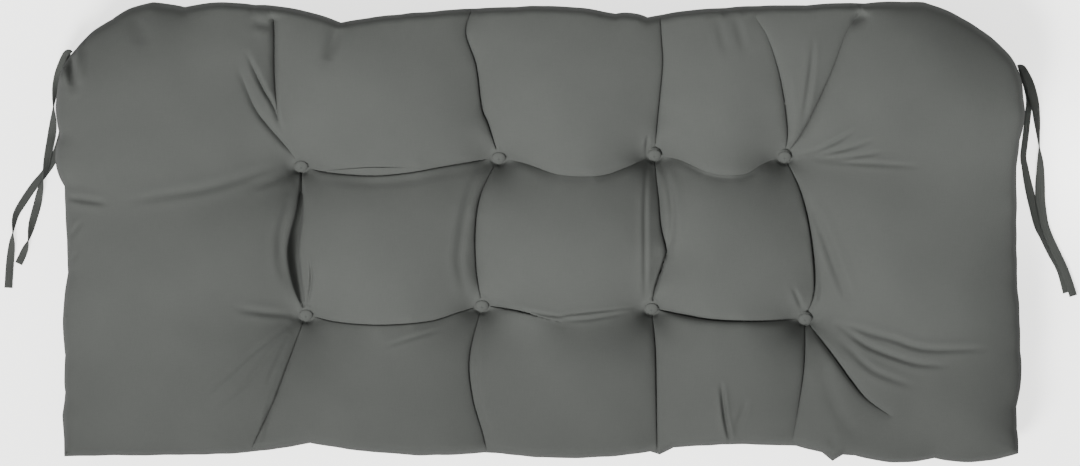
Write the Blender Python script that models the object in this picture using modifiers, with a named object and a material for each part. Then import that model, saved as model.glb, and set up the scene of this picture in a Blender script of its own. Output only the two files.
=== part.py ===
"""Tufted bench cushion with covered buttons and four cloth ties.

The cushion lies on its back with the buttoned face up.  +X runs along its width, +Y points to
the back edge with the rounded corners and the ties, and the origin is at the middle of the
underside.  Tables are in millimetres, the scene is in metres.
"""

import bmesh
import bpy
import math
import numpy as np
from collections import namedtuple
from mathutils import Vector
from mathutils.geometry import delaunay_2d_cdt

MM = 0.001

# Driving sizes of the filled cover.
CROWN_HEIGHT = 116.0        # resting surface to the tops of the puffs
SEAM_HEIGHT = 47.0          # knife-edge seam above the resting surface
SIDE_REACH = 105.0          # how far in from the seam the face still rises, at the two ends
FRONT_REACH = 22.0          # and along the front and the back
END_ZONE = (330.0, 500.0)   # from the middle: where the ends begin and are reached
UNDER_REACH = 72.0          # how far inside the seam the underside meets the surface
SIDE_CURVE = 2.2            # how round the filling makes the sides
SIDE_FULLNESS = 0.40        # the smaller, the steeper the sides stand on the seam
UNDER_DIMPLE = 16.0         # rise of the underside where a tuft draws it up
UNDER_DIMPLE_REACH = 42.0
TUFT_DEPTH = 44.0           # how far a button is drawn down below the crown
TUFT_REACH = 22.0           # over which its slopes die out
MERGE_POWER = 3.0           # how tightly the slopes of tufts and creases run together
FLOOR_POWER = 10.0          # how sharply their sum stops at the depth of a tuft
EDGE_HOLD = 1.15            # how soon inside the seam the creases reach their full depth
TROUGH_ROUND = 14.0         # roundness of a soft trough
OVERHANG = (-1.2, 4.0)      # from where to where beside a crease its lower side is reached
OVERHANG_FADE = 0.6         # how soon it dies out towards the two tufts
SLIT_DEPTH = 18.0           # depth of an open fold below its rims
SLIT_SKEW = 1.5             # places its widest part past its middle
SLIT_WALL = 1.5             # steepness of its sides

# Driving sizes of the buttons and ties.
BUTTON_WIDTH = 15.0
BUTTON_RISE = 5.0
BUTTON_TILT = math.radians(42)      # the buttons face towards the front
BUTTON_SEAT = 7.8           # radius of the flat patch of cloth under a button
TILT_REACH = 21.0           # how far the cloth round a button leans with it
HOLLOW_DEPTH = 6.0          # of the hollow under the front of each button
HOLLOW_SIZE = (16.0, 8.0)
HOLLOW_PLACE = 12.0         # from the middle of the button
TIE_THICKNESS = 1.6
CLEARANCE = 0.3             # between pieces that touch

# Spacing of the points that the faces are drawn through.
SEAT_CORNERS = 12
AROUND_BUTTON = 14.0        # radius of the ring of points round each button
BESIDE_CREASE = 8.0
FACE_SPACING = 17.0
UNDER_SPACING = 27.0
SEAM_SPACING = 11.0
CREASE_SPACING = 13.0

# The seam seen from above, clockwise from the left tie: each row is a point where the seam is
# drawn in or turns, and how far the stretch after it bulges out.
SeamPoint = namedtuple("SeamPoint", "x y bulge")
SEAM = [SeamPoint(*row) for row in [
    (-496, 196, 3), (-458, 228, 3), (-414, 246, 1), (-380, 241, 4), (-305, 243, 5),
    (-213, 224, 0), (-180, 230, 2), (-25, 241, 4), (81, 234, 3), (115, 230, 2),
    (199, 240, 1), (285, 243, 1), (348, 245, 1), (411, 246, 3), (471, 217, 1),
    (495, 198, 1), (509, 179, 1), (517, 154, 0), (519, 129, 1), (513, 98, 0),
    (510, 68, 0), (510, -18, 0),
    (511, -59, 1), (514, -128, 3), (510, -187, 0), (510, -211, 1), (512, -237, 5),
    (432, -244, 0), (422, -242, 6), (337, -239, 0), (324, -238, 0), (313, -245, 0),
    (302, -236, 0), (274, -229, 0), (207, -227, 0), (128, -238, 0), (118, -235, 6),
    (-41, -237, 0), (-60, -236, 1), (-128, -239, 2), (-246, -226, 1), (-300, -234, 0),
    (-314, -236, 1), (-439, -239, 0), (-509, -240, 0), (-511, -196, 0), (-508, -171, 1),
    (-508, -132, 4), (-505, -43, 0), (-509, 49, 7), (-514, 103, 4), (-514, 167, 2)]]

# The eight tufts.
Tuft = namedtuple("Tuft", "name x y")
TUFTS = [
    Tuft("button_back_1", -255, 71), Tuft("button_back_2", -44, 80),
    Tuft("button_back_3", 122, 83), Tuft("button_back_4", 261, 81),
    Tuft("button_front_1", -250, -88), Tuft("button_front_2", -62, -78),
    Tuft("button_front_3", 119, -81), Tuft("button_front_4", 283, -92)]

# Creases of the face: the depth below the crown at the start, middle and end, how soon the slopes
# die out to the left and right of the route, how far the left side stands over the right one,
# half the width of an open fold, whether it is a soft trough, and the route.
Crease = namedtuple("Crease", "name start middle end left right step slit soft route")
CREASES = [
    Crease("back row, first", 42, 22, 42, 23, 42, 6, 0, False,
           [(-255, 71), (-229, 64), (-182, 60), (-141, 63), (-102, 70), (-44, 80)]),
    Crease("back row, second", 42, 21, 42, 25, 36, 10, 0, False,
           [(-44, 80), (-15, 73), (21, 61), (63, 60), (92, 69), (122, 83)]),
    Crease("back row, third", 42, 22, 42, 24, 36, 11, 0, False,
           [(122, 83), (149, 77), (183, 62), (217, 61), (238, 73), (261, 81)]),
    Crease("front row, first", 42, 23, 42, 30, 14, 3, 0, False,
           [(-250, -88), (-216, -96), (-168, -99), (-118, -95), (-88, -86), (-62, -78)]),
    Crease("front row, second", 42, 22, 42, 30, 16, 6, 0, False,
           [(-62, -78), (-19, -85), (15, -94), (64, -94), (86, -90), (119, -81)]),
    Crease("front row, third", 42, 24, 42, 30, 15, 8, 0, False,
           [(119, -81), (156, -89), (190, -94), (240, -95), (283, -92)]),
    Crease("first column", 42, 30, 42, 28, 28, 0, 5.3, False,
           [(-255, 71), (-256.5, 26), (-261.5, 0), (-264, -19), (-262.5, -38), (-258.5, -60),
            (-250, -88)]),
    Crease("second column", 42, 24, 42, 27, 27, 0, 0, False,
           [(-44, 80), (-63, 41), (-69, 3), (-68, -40), (-62, -78)]),
    Crease("third column", 42, 26, 42, 26, 26, 0, 0, False,
           [(122, 83), (126, 37), (135, -22), (124, -58), (119, -81)]),
    Crease("fourth column", 42, 27, 42, 26, 30, 0, 0, False,
           [(261, 81), (279, 41), (290, -10), (293, -61), (283, -92)]),
    Crease("first column to the back", 14, 12, 8, 16, 20, 5, 0, False,
           [(-283, 240), (-283, 208), (-283, 174), (-282, 153), (-279, 120)]),
    Crease("second column to the back", 40, 19, 20, 27, 27, 0, 0, False,
           [(-44, 80), (-55, 115), (-62, 133), (-68, 178), (-79, 213), (-72, 240)]),
    Crease("third column to the back", 40, 17, 16, 26, 26, 0, 0, False,
           [(122, 83), (127, 135), (131, 180), (130, 200), (128, 231)]),
    Crease("fourth column to the back", 40, 14, 12, 20, 20, 0, 0, False,
           [(261, 81), (282, 110), (309, 167), (327, 214), (340, 232)]),
    Crease("fourth column fan", 40, 12, 3, 15, 15, 0, 0, False,
           [(261, 81), (264, 111), (256, 164), (243, 206), (230, 228)]),
    Crease("back corner fan", 38, 12, 2, 21, 18, 0, 0, False,
           [(-255, 71), (-273, 94), (-287, 110), (-304, 133), (-319, 170)]),
    Crease("left trough", 36, 9, 8, 33, 33, 0, 0, True,
           [(-255, 71), (-304, 58), (-362, 45), (-434, 32), (-507, 22)]),
    Crease("left front trough", 36, 7, 5, 32, 32, 0, 0, True,
           [(-250, -88), (-319, -86), (-410, -90), (-505, -90)]),
    Crease("right trough", 36, 7, 5, 27, 27, 0, 0, True,
           [(261, 81), (309, 80), (398, 72), (510, 66)]),
    Crease("right front trough", 36, 10, 6, 30, 30, 0, 0, True,
           [(283, -92), (327, -101), (405, -128), (512, -128)]),
    Crease("first column to the front", 40, 20, 20, 26, 48, 0, 0, False,
           [(-250, -88), (-268, -137), (-284, -180), (-302, -219), (-310, -236)]),
    Crease("second column to the front", 40, 18, 18, 26, 26, 0, 0, False,
           [(-62, -78), (-75, -132), (-72, -175), (-62, -211), (-56, -236)]),
    Crease("third column to the front", 40, 17, 18, 25, 25, 0, 0, False,
           [(119, -81), (123, -123), (124, -177), (125, -237)]),
    Crease("fourth column to the front", 40, 15, 8, 21, 21, 0, 0, False,
           [(283, -92), (282, -138), (276, -182), (268, -228)]),
    Crease("front corner fan", 40, 22, 4, 20, 20, 0, 0, False,
           [(283, -92), (305, -118), (331, -153), (350, -177), (370, -193)])]
ROUTE_STEP = 10.0           # between the points that stand for a crease's route

# Routes of the four ties, from the seam to the free end: the middle of the strip, its least
# height, its width, and how many degrees it is turned about its own length.  Each pair is sewn
# in side by side, falls to the resting surface, crosses and lies there.
TiePoint = namedtuple("TiePoint", "x y z width turn")
TIES = {
    "tie_left_over": [
        (-502.1, 191.8, 47, 5, 0), (-503.6, 192.8, 46.6, 5.5, 0), (-506.8, 191.8, 43.5, 6.5, 0),
        (-509.8, 186.5, 37, 7.5, 0), (-513.2, 178.5, 28, 8.5, 0), (-516.5, 169.5, 18, 9, 8),
        (-519.5, 158, 10, 9, 35), (-521.3, 147, 5, 8.5, 60), (-522.3, 136, 2, 8, 88),
        (-522.5, 126, 0, 8.5, 120), (-523, 116, 0, 9, 155), (-524.5, 104, 1, 9.5, 180),
        (-527, 90, 3.2, 9, 182), (-529.5, 77, 5, 8, 195), (-532, 62, 7, 7, 240),
        (-536.5, 45, 5.4, 8, 330), (-540, 29, 0, 9, 360), (-545, 11, 0, 8.5, 370),
        (-549, -7, 0, 7, 440), (-554, -21, 0, 8, 530), (-560, -34, 0, 8.5, 540)],
    "tie_left_under": [
        (-502, 191.8, 44.6, 5, 0), (-503.2, 192.8, 43.4, 5.5, 0), (-505.5, 191, 38, 6.5, 0),
        (-507.2, 186.2, 29, 7.5, 0), (-508.6, 180, 17, 8, 0), (-509, 173, 6.5, 8, 0),
        (-508.9, 165, 1, 8, 0), (-508.7, 152, 0, 8, 0), (-508.5, 140, 0, 8, 0),
        (-511, 118, 0, 8, 0), (-515.5, 98, 0, 8, 0), (-523, 77, 0, 8, 0),
        (-532, 63.5, 0, 8, 0), (-543, 50, 0, 8.5, 0), (-554, 34, 0, 8.5, 5),
        (-563, 18, 0, 8, 35), (-566, 0, 0, 7.5, 90), (-567.5, -16, 0, 8.5, 155),
        (-569.5, -36, 0, 9, 180), (-571, -60, 0, 9, 180)],
    "tie_right_over": [
        (511.7, 176.5, 47, 5, 0), (513.3, 177, 46.6, 5.5, 0), (516.8, 175.2, 43.5, 7, 0),
        (520.3, 168.5, 36, 9, 0), (524, 161, 26, 10, 0), (527.5, 152, 17, 10, 0),
        (530.5, 141, 9.5, 10, -10), (532.5, 130, 5, 9.5, -25), (533.8, 118, 2, 9, -45),
        (534.8, 106.5, 0, 8.5, -68), (536, 93, 0, 8, -90), (536.6, 84, 0, 8, -115),
        (537.3, 75.5, 0, 8.5, -135), (537.8, 63.5, 0, 9, -160), (537.8, 49.5, 1, 9.5, -178),
        (538, 35, 2.2, 9.5, -180), (539.5, 21.5, 2.9, 9.5, -178), (542, 7.5, 3.2, 9, -172),
        (547, -6.4, 3.2, 9, -170), (554.2, -21.7, 3.2, 9, -170), (562.8, -40, 3.2, 9, -170),
        (568.5, -55.2, 3.2, 9, -170), (572.8, -68.6, 3.2, 9, -170)],
    "tie_right_under": [
        (511.6, 176.5, 44.4, 5, 0), (512.9, 177, 43, 5.5, 0), (514.9, 175.2, 38, 6.5, 0),
        (517, 170.5, 29, 7, 0), (519.2, 164.5, 18, 7, 0), (521.8, 157.5, 8.5, 7, 0),
        (524.2, 149, 2.5, 7, 0), (525.4, 140, 0, 7, 0), (524.1, 126, 0, 7, 0),
        (522.6, 112, 0, 7, 0), (521, 98, 0, 7, 0), (519.3, 84.5, 0, 7, 0),
        (519.3, 78, 0, 7, 0), (521, 69, 0, 7, 0), (523.5, 56.5, 0, 6.5, 0),
        (527, 42.5, 0, 7, 0), (529.5, 28.5, 0, 7, 0), (534.3, 7.5, 0, 7, 0),
        (540.6, -6.4, 0, 7, 0), (548, -21.7, 0, 7, 0), (558.3, -41.3, 0, 7, 0),
        (565, -65.3, 0, 7, 0)]}
TIE_SPACING = 5.5


def smooth_route(points, spacing):
    """Evenly spaced points on the smooth curve through the given ones."""
    points = np.array(points, dtype=float)
    padded = np.vstack([2 * points[0] - points[1], points, 2 * points[-1] - points[-2]])
    fine = []
    for index in range(len(points) - 1):
        before, here, there, after = padded[index:index + 4]
        for t in np.linspace(0, 1, 16, endpoint=False):
            fine.append(0.5 * (2 * here + (there - before) * t
                               + (2 * before - 5 * here + 4 * there - after) * t ** 2
                               + (3 * here - before - 3 * there + after) * t ** 3))
    fine = np.array(fine + [points[-1]])
    stretches = np.linalg.norm(np.diff(fine[:, :3], axis=0), axis=1)
    lengths = np.concatenate([[0], np.cumsum(stretches)])
    count = max(2, int(round(lengths[-1] / spacing)) + 1)
    places = np.linspace(0, lengths[-1], count)
    return np.column_stack([np.interp(places, lengths, fine[:, k]) for k in range(fine.shape[1])])


def seam_outline(spacing):
    """The seam as a closed run of points: one shallow arc for each row of the table."""
    outline = []
    for index, here in enumerate(SEAM):
        there = SEAM[(index + 1) % len(SEAM)]
        start = np.array([here.x, here.y], dtype=float)
        chord = np.array([there.x, there.y]) - start
        length = np.linalg.norm(chord)
        outward = np.array([-chord[1], chord[0]]) / length
        steps = max(1, int(round(length / spacing)))
        for t in np.arange(steps) / steps:
            outline.append(start + chord * t + outward * here.bulge * 4 * t * (1 - t))
    return np.array(outline)


def nearest_on(points, line):
    """Each point's distance to a run of points, the share along it of the nearest place, and the
    side: 1 on its left, -1 on its right, less behind its ends."""
    nearest = np.full(len(points), np.inf)
    along = np.zeros(len(points))
    side = np.ones(len(points))
    steps = len(line) - 1
    for index in range(steps):
        edge = line[index + 1] - line[index]
        away = points - line[index]
        t = np.clip(away @ edge / max(edge @ edge, 1e-9), 0, 1)
        gap = np.linalg.norm(away - t[:, None] * edge, axis=1)
        closer = gap < nearest
        nearest[closer] = gap[closer]
        along[closer] = (index + t[closer]) / steps
        square = (edge[0] * away[closer, 1] - edge[1] * away[closer, 0]) / np.hypot(*edge)
        apart = np.maximum(gap[closer], 1e-6)
        side[closer] = np.where(apart < 0.01, 1, np.clip(square / apart, -1, 1))
    return nearest, along, side


def seam_distance(points, outline):
    """How far each point is from the seam."""
    return nearest_on(points, np.vstack([outline, outline[:1]]))[0]


def inside_seam(points, outline):
    """Which points lie inside the seam."""
    inside = np.zeros(len(points), dtype=bool)
    for start, end in zip(outline, np.roll(outline, -1, axis=0)):
        crosses = (start[1] > points[:, 1]) != (end[1] > points[:, 1])
        rise = end[1] - start[1]
        if rise == 0:
            continue
        x_there = start[0] + (points[:, 1] - start[1]) * (end[0] - start[0]) / rise
        inside ^= crosses & (points[:, 0] < x_there)
    return inside


def round_rise(distance, reach):
    """0 at the seam, 1 from the given reach on, round like the side of a filled bag."""
    t = np.clip(distance / reach, 0, 1)
    return (1 - (1 - t) ** SIDE_CURVE) ** SIDE_FULLNESS


def smooth_step(value, low, high):
    """0 below the low value, 1 above the high one, with a soft start and end."""
    t = np.clip((value - low) / (high - low), 0, 1)
    return t * t * (3 - 2 * t)


def crease_draw(points, crease):
    """How far a crease alone draws the face down."""
    gap, along, side = nearest_on(points, smooth_route(crease.route, ROUTE_STEP))
    beside = gap * side
    if crease.soft:
        gap = np.hypot(gap, TROUGH_ROUND) - TROUGH_ROUND
    first = np.interp(along, [0, 0.4, 1], [crease.start, crease.middle, crease.end])
    second = np.interp(along, [0, 0.6, 1], [crease.start, crease.middle, crease.end])
    lower = crease.step * smooth_step(-beside, *OVERHANG) * np.sin(math.pi * along) ** OVERHANG_FADE
    reach = (crease.left * (1 + side) + crease.right * (1 - side)) / 2
    return ((first + second) / 2 + lower) * np.exp(-gap / reach) * np.abs(side)


def slit_width(crease, along):
    """Half the width of an open fold at each share of its route, widest past its middle."""
    return crease.slit * np.sin(math.pi * np.clip(along, 0, 1) ** SLIT_SKEW)


def face_heights(points, outline):
    """Height of the buttoned face: a crown, drawn down by tufts and creases."""
    ends = smooth_step(np.abs(points[:, 0]), *END_ZONE)
    reach = FRONT_REACH + (SIDE_REACH - FRONT_REACH) * ends
    rise = round_rise(seam_distance(points, outline), reach)
    middles = np.array([[tuft.x, tuft.y] for tuft in TUFTS], dtype=float)
    right, up = (points[:, None, :] - middles).transpose(2, 0, 1)
    radius = np.maximum(np.hypot(right, up).min(axis=1) - BUTTON_SEAT, 0)
    drawn = (TUFT_DEPTH * np.exp(-radius / TUFT_REACH)) ** MERGE_POWER
    for crease in CREASES:
        drawn += crease_draw(points, crease) ** MERGE_POWER
    drawn = drawn ** (1 / MERGE_POWER)
    drawn /= (1 + (drawn / TUFT_DEPTH) ** FLOOR_POWER) ** (1 / FLOOR_POWER)
    height = SEAM_HEIGHT + (CROWN_HEIGHT - SEAM_HEIGHT) * rise - drawn * np.minimum(1, rise * EDGE_HOLD)
    lean = up * math.tan(BUTTON_TILT) * np.exp(-(right ** 2 + up ** 2) / TILT_REACH ** 2)
    wide, deep = HOLLOW_SIZE
    hollow = HOLLOW_DEPTH * np.exp(-(right / wide) ** 2 - ((up + HOLLOW_PLACE) / deep) ** 2)
    height += (lean - hollow).sum(axis=1)
    for crease in CREASES:
        if crease.slit:
            gap, along, _ = nearest_on(points, smooth_route(crease.route, ROUTE_STEP))
            inside = np.clip(1 - gap / np.maximum(slit_width(crease, along), 0.1), 0, 1)
            height -= SLIT_DEPTH * np.minimum(1, SLIT_WALL * inside)
    seat = CROWN_HEIGHT - TUFT_DEPTH + up * math.tan(BUTTON_TILT)
    on_seat = np.hypot(right, up / math.cos(BUTTON_TILT)) < BUTTON_SEAT + CLEARANCE
    return np.where(on_seat.any(axis=1), (seat * on_seat).sum(axis=1), height)


def under_heights(points, outline):
    """Height of the underside: flat where it rests, drawn up a little at each tuft."""
    height = SEAM_HEIGHT * (1 - round_rise(seam_distance(points, outline), UNDER_REACH))
    for tuft in TUFTS:
        radius = np.hypot(points[:, 0] - tuft.x, points[:, 1] - tuft.y)
        height += UNDER_DIMPLE * smooth_step(-radius, -UNDER_DIMPLE_REACH, 0)
    return height


def thinned(points, taken, gap):
    """The points that keep the given gap from those already taken."""
    kept = []
    for point in points:
        near = np.hypot(*(taken - point).T) < gap if len(taken) else np.array([False])
        if not near.any():
            kept.append(point)
    return np.array(kept).reshape(-1, 2)


def even_points(outline, spacing):
    """Rows of points, each shifted by half a step, that fill the seam."""
    low = outline.min(axis=0)
    high = outline.max(axis=0)
    rows = []
    for row, y in enumerate(np.arange(low[1], high[1], spacing * math.sqrt(3) / 2)):
        shift = spacing / 2 * (row % 2)
        xs = np.arange(low[0] + shift, high[0], spacing)
        rows.append(np.column_stack([xs, np.full(len(xs), y)]))
    points = np.vstack(rows)
    return points[inside_seam(points, outline)]


def rings_inside(outline, offsets, spacing):
    """Rows of points that follow the seam on its inside."""
    ahead = np.roll(outline, -2, axis=0) - np.roll(outline, 2, axis=0)
    inward = np.column_stack([ahead[:, 1], -ahead[:, 0]])
    inward /= np.linalg.norm(inward, axis=1)[:, None]
    taken = np.empty((0, 2))
    for offset in offsets:
        ring = outline + inward * offset
        ring = ring[inside_seam(ring, outline)]
        ring = ring[seam_distance(ring, outline) > 0.8 * offset]
        taken = np.vstack([taken, thinned(ring, taken, min(spacing, offset) * 0.8)])
    return taken


def across(line):
    """Unit steps square to a run of points."""
    ahead = np.gradient(line, axis=0)
    square = np.column_stack([-ahead[:, 1], ahead[:, 0]])
    return square / np.linalg.norm(square, axis=1)[:, None]


def clear_of_seam(points, outline, gap):
    """The points inside the seam and at least the given gap away from it."""
    points = points[inside_seam(points, outline)]
    return points[seam_distance(points, outline) > gap]


def face_points(outline):
    """Places on the buttoned face, and the pairs of them that are joined along a crease."""
    turns = np.arange(SEAT_CORNERS) * math.tau / SEAT_CORNERS
    circle = np.column_stack([np.cos(turns), np.sin(turns)])
    seat = BUTTON_SEAT * circle * (1, math.cos(BUTTON_TILT))
    middles = np.array([[tuft.x, tuft.y] for tuft in TUFTS], dtype=float)
    taken = np.vstack([middles] + [middle + seat for middle in middles])
    joined = []
    lines = [smooth_route(crease.route, CREASE_SPACING) for crease in CREASES]
    for line in lines:
        line = thinned(clear_of_seam(line, outline, 4), taken, 6)
        steps = np.linalg.norm(np.diff(line, axis=0), axis=1)
        first = len(taken)
        joined += [(first + index, first + index + 1) for index, step in enumerate(steps)
                   if step < 1.5 * CREASE_SPACING]
        taken = np.vstack([taken, line])
    for crease, line in zip(CREASES, lines):
        if crease.slit:
            width = slit_width(crease, np.linspace(0, 1, len(line)))[:, None]
            for share in (-1.0, -0.35, 0.35, 1.0):
                rim = (line + across(line) * width * share)[width[:, 0] > 0.4 * crease.slit]
                taken = np.vstack([taken, thinned(rim, taken, 1.0)])
    for middle in middles:
        taken = np.vstack([taken, thinned(middle + AROUND_BUTTON * circle, taken, 5)])
    for line in lines:
        for offset in (-BESIDE_CREASE, BESIDE_CREASE):
            slope = clear_of_seam(line + across(line) * offset, outline, BESIDE_CREASE)
            taken = np.vstack([taken, thinned(slope, taken, 6)])
    rings = rings_inside(outline, (4, 10, 20), SEAM_SPACING)
    taken = np.vstack([taken, thinned(rings, taken, 5)])
    filling = clear_of_seam(even_points(outline, FACE_SPACING), outline, 3)
    taken = np.vstack([taken, thinned(filling, taken, 0.7 * FACE_SPACING)])
    return taken, joined


def under_points(outline):
    """Places on the underside."""
    points = []
    for tuft in TUFTS:
        points.append([tuft.x, tuft.y])
        for radius, count in ((12, 6), (27, 10), (UNDER_DIMPLE_REACH, 14)):
            for turn in np.arange(count) * 2 * math.pi / count:
                points.append([tuft.x + radius * math.cos(turn), tuft.y + radius * math.sin(turn)])
    taken = np.array(points)
    rings = rings_inside(outline, (5, 16, 34, 54, UNDER_REACH + 1), SEAM_SPACING)
    taken = np.vstack([taken, thinned(rings, taken, 9)])
    filling = clear_of_seam(even_points(outline, UNDER_SPACING), outline, 3)
    taken = np.vstack([taken, thinned(filling, taken, 0.7 * UNDER_SPACING)])
    return taken, []


def drawn_triangles(outline, points, joined):
    """Triangles between the seam and the points inside it; the seam's points come first."""
    count = len(outline)
    places = [Vector(place) for place in np.vstack([outline, points])]
    ring = list(range(count))
    edges = [(count + first, count + last) for first, last in joined]
    result = delaunay_2d_cdt(places, edges, [ring], 1, 1e-6)
    verts = np.array([tuple(place) for place in result[0]])
    return verts, result[2]


def add_material(thing, name, colour, roughness):
    """A plain cloth finish with the photo's colour."""
    material = bpy.data.materials.new(name)
    material.use_nodes = True
    shader = material.node_tree.nodes["Principled BSDF"]
    shader.inputs["Base Color"].default_value = (*colour, 1.0)
    shader.inputs["Roughness"].default_value = roughness
    shader.inputs["Metallic"].default_value = 0.0
    thing.data.materials.append(material)


def new_piece(name, mesh, collection):
    """An object in the cushion's collection."""
    thing = bpy.data.objects.new(name, mesh)
    collection.objects.link(thing)
    return thing


def make_cushion(collection):
    """The filled cover: a buttoned face and an underside that meet at the knife edge."""
    outline = seam_outline(SEAM_SPACING)
    bm = bmesh.new()
    seam_verts = [bm.verts.new((x * MM, y * MM, SEAM_HEIGHT * MM)) for x, y in outline]
    sides = [(face_points(outline), face_heights, False),
             (under_points(outline), under_heights, True)]
    for (points, joined), heights, turned in sides:
        places, triangles = drawn_triangles(outline, points, joined)
        inner = places[len(outline):]
        heights_there = heights(inner, outline)
        verts = list(seam_verts)
        verts += [bm.verts.new((x * MM, y * MM, z * MM)) for (x, y), z in zip(inner, heights_there)]
        for triangle in triangles:
            corners = [verts[index] for index in triangle]
            bm.faces.new(corners[::-1] if turned else corners)
    mesh = bpy.data.meshes.new("cushion")
    bm.to_mesh(mesh)
    bm.free()
    mesh.shade_smooth()
    cushion = new_piece("cushion", mesh, collection)
    add_material(cushion, "woven cover cloth", (0.147, 0.152, 0.144), 0.9)
    return cushion


def make_buttons(collection):
    """Covered buttons: a flat back and a low dome, turned, one on each tuft."""
    radius = BUTTON_WIDTH / 2
    profile = [(0.0, BUTTON_RISE), (0.5 * radius, 0.92 * BUTTON_RISE), (0.85 * radius, 0.66 * BUTTON_RISE),
               (radius, 0.3 * BUTTON_RISE), (0.9 * radius, 0.0), (0.0, 0.0)]
    seat = CROWN_HEIGHT - TUFT_DEPTH + CLEARANCE * math.cos(BUTTON_TILT)
    forward = CLEARANCE * math.sin(BUTTON_TILT)
    for tuft in TUFTS:
        mesh = bpy.data.meshes.new(tuft.name)
        places = [(r * MM, 0.0, z * MM) for r, z in profile]
        mesh.from_pydata(places, [(i, i + 1) for i in range(len(profile) - 1)], [])
        button = new_piece(tuft.name, mesh, collection)
        button.location = (tuft.x * MM, (tuft.y - forward) * MM, seat * MM)
        button.rotation_euler = (BUTTON_TILT, 0, 0)
        turn = button.modifiers.new("turned", "SCREW")
        turn.steps = 16
        turn.render_steps = 16
        turn.use_merge_vertices = True
        turn.merge_threshold = 1e-5
        add_material(button, "button cloth", (0.135, 0.14, 0.132), 0.9)


def make_ties(collection):
    """Cloth ties: flat strips that follow their routes, turning about their own length."""
    for name, route in TIES.items():
        sections = smooth_route([TiePoint(*row) for row in route], TIE_SPACING)
        middles = sections[:, :3]
        ahead = np.gradient(middles, axis=0)
        ahead /= np.linalg.norm(ahead, axis=1)[:, None]
        bm = bmesh.new()
        rings = []
        for middle, along, (width, turn) in zip(middles, ahead, sections[:, 3:]):
            along = Vector(along)
            level = along.cross(Vector((0, 0, 1))).normalized()
            turned = math.radians(turn)
            lying = abs(math.sin(turned)) * width / 2 + abs(math.cos(turned)) * TIE_THICKNESS / 2
            middle = Vector((middle[0], middle[1], max(middle[2], lying + CLEARANCE)))
            side = level * math.cos(turned) + level.cross(along) * math.sin(turned)
            face = along.cross(side)
            corners = []
            for across, through in ((1, 1), (-1, 1), (-1, -1), (1, -1)):
                corner = middle + side * across * width / 2
                corner += face * through * TIE_THICKNESS / 2
                corners.append(bm.verts.new(corner * MM))
            rings.append(corners)
        for here, there in zip(rings, rings[1:]):
            for index in range(4):
                after = (index + 1) % 4
                bm.faces.new((here[index], here[after], there[after], there[index]))
        bm.faces.new(rings[0][::-1])
        bm.faces.new(rings[-1])
        bmesh.ops.recalc_face_normals(bm, faces=bm.faces)
        mesh = bpy.data.meshes.new(name)
        bm.to_mesh(mesh)
        bm.free()
        tie = new_piece(name, mesh, collection)
        add_material(tie, "tie cloth", (0.09, 0.095, 0.088), 0.9)


def main():
    for thing in list(bpy.data.objects):
        bpy.data.objects.remove(thing)
    collection = bpy.data.collections.new("tufted bench cushion")
    bpy.context.scene.collection.children.link(collection)
    make_cushion(collection)
    make_buttons(collection)
    make_ties(collection)


main()
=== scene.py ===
"""Looks of the tufted bench cushion: its woven cover, covered buttons, seam and cloth ties."""

import math
import bpy
import bmesh
import numpy as np
from collections import namedtuple
from mathutils import Matrix, Vector, noise
from mathutils.kdtree import KDTree
from mathutils.geometry import delaunay_2d_cdt


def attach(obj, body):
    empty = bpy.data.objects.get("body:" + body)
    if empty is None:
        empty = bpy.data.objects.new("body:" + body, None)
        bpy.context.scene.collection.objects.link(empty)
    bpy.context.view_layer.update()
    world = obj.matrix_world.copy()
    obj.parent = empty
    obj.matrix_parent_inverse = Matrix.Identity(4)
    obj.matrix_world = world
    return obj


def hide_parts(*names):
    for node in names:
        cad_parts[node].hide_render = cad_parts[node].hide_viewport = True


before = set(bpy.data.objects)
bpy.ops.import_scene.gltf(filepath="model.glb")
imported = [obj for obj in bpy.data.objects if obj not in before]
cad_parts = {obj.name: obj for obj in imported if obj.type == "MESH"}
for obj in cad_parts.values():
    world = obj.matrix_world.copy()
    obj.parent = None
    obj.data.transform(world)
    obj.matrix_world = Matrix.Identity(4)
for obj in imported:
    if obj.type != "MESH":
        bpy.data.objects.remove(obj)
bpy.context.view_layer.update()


# ---- The studio ------------------------------------------------------------------------------
# A pale sweep of floor, one large soft box at the front left and a small lamp over the ties at the
# right, which lie in the cushion's shade.  The camera looks straight down on the face from far off.

MM = 0.001
PHOTO_WIDTH_PX = 1080
PHOTO_MM_PER_PX = 1.07
SEAM_HEIGHT = 47.0              # mm above the floor, where the photo's scale holds
CAMERA_HEIGHT = 12.0            # m
CAMERA_NUDGE = 0.001            # m towards the front, so that the picture's top is the back
CAMERA_SEES = 40                # m
SENSOR_WIDTH = 36.0
PAPER_HALF = 6.0                # m
PAPER_DROP = 0.3                # mm, so that the paper and the cushion's flat underside stay apart
PAPER_GLOW = 1.9
DAYLIGHT = 0.75                 # even light from all round


def linear(hex_colour):
    """An sRGB hex colour as linear red, green, blue and alpha."""
    parts = [int(hex_colour[i:i + 2], 16) / 255 for i in (1, 3, 5)]
    return (*[c / 12.92 if c <= 0.04045 else ((c + 0.055) / 1.055) ** 2.4 for c in parts], 1.0)


def add(tree, kind, links=(), **settings):
    """A new node; links are (socket, value or output socket) pairs, settings are its properties."""
    made = tree.nodes.new(kind)
    for name, value in settings.items():
        setattr(made, name, value)
    for socket, value in links:
        if isinstance(value, bpy.types.NodeSocket):
            tree.links.new(value, made.inputs[socket])
        else:
            made.inputs[socket].default_value = value
    return made


def new_object(name, data):
    thing = bpy.data.objects.new(name, data)
    bpy.context.scene.collection.objects.link(thing)
    return thing


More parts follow.
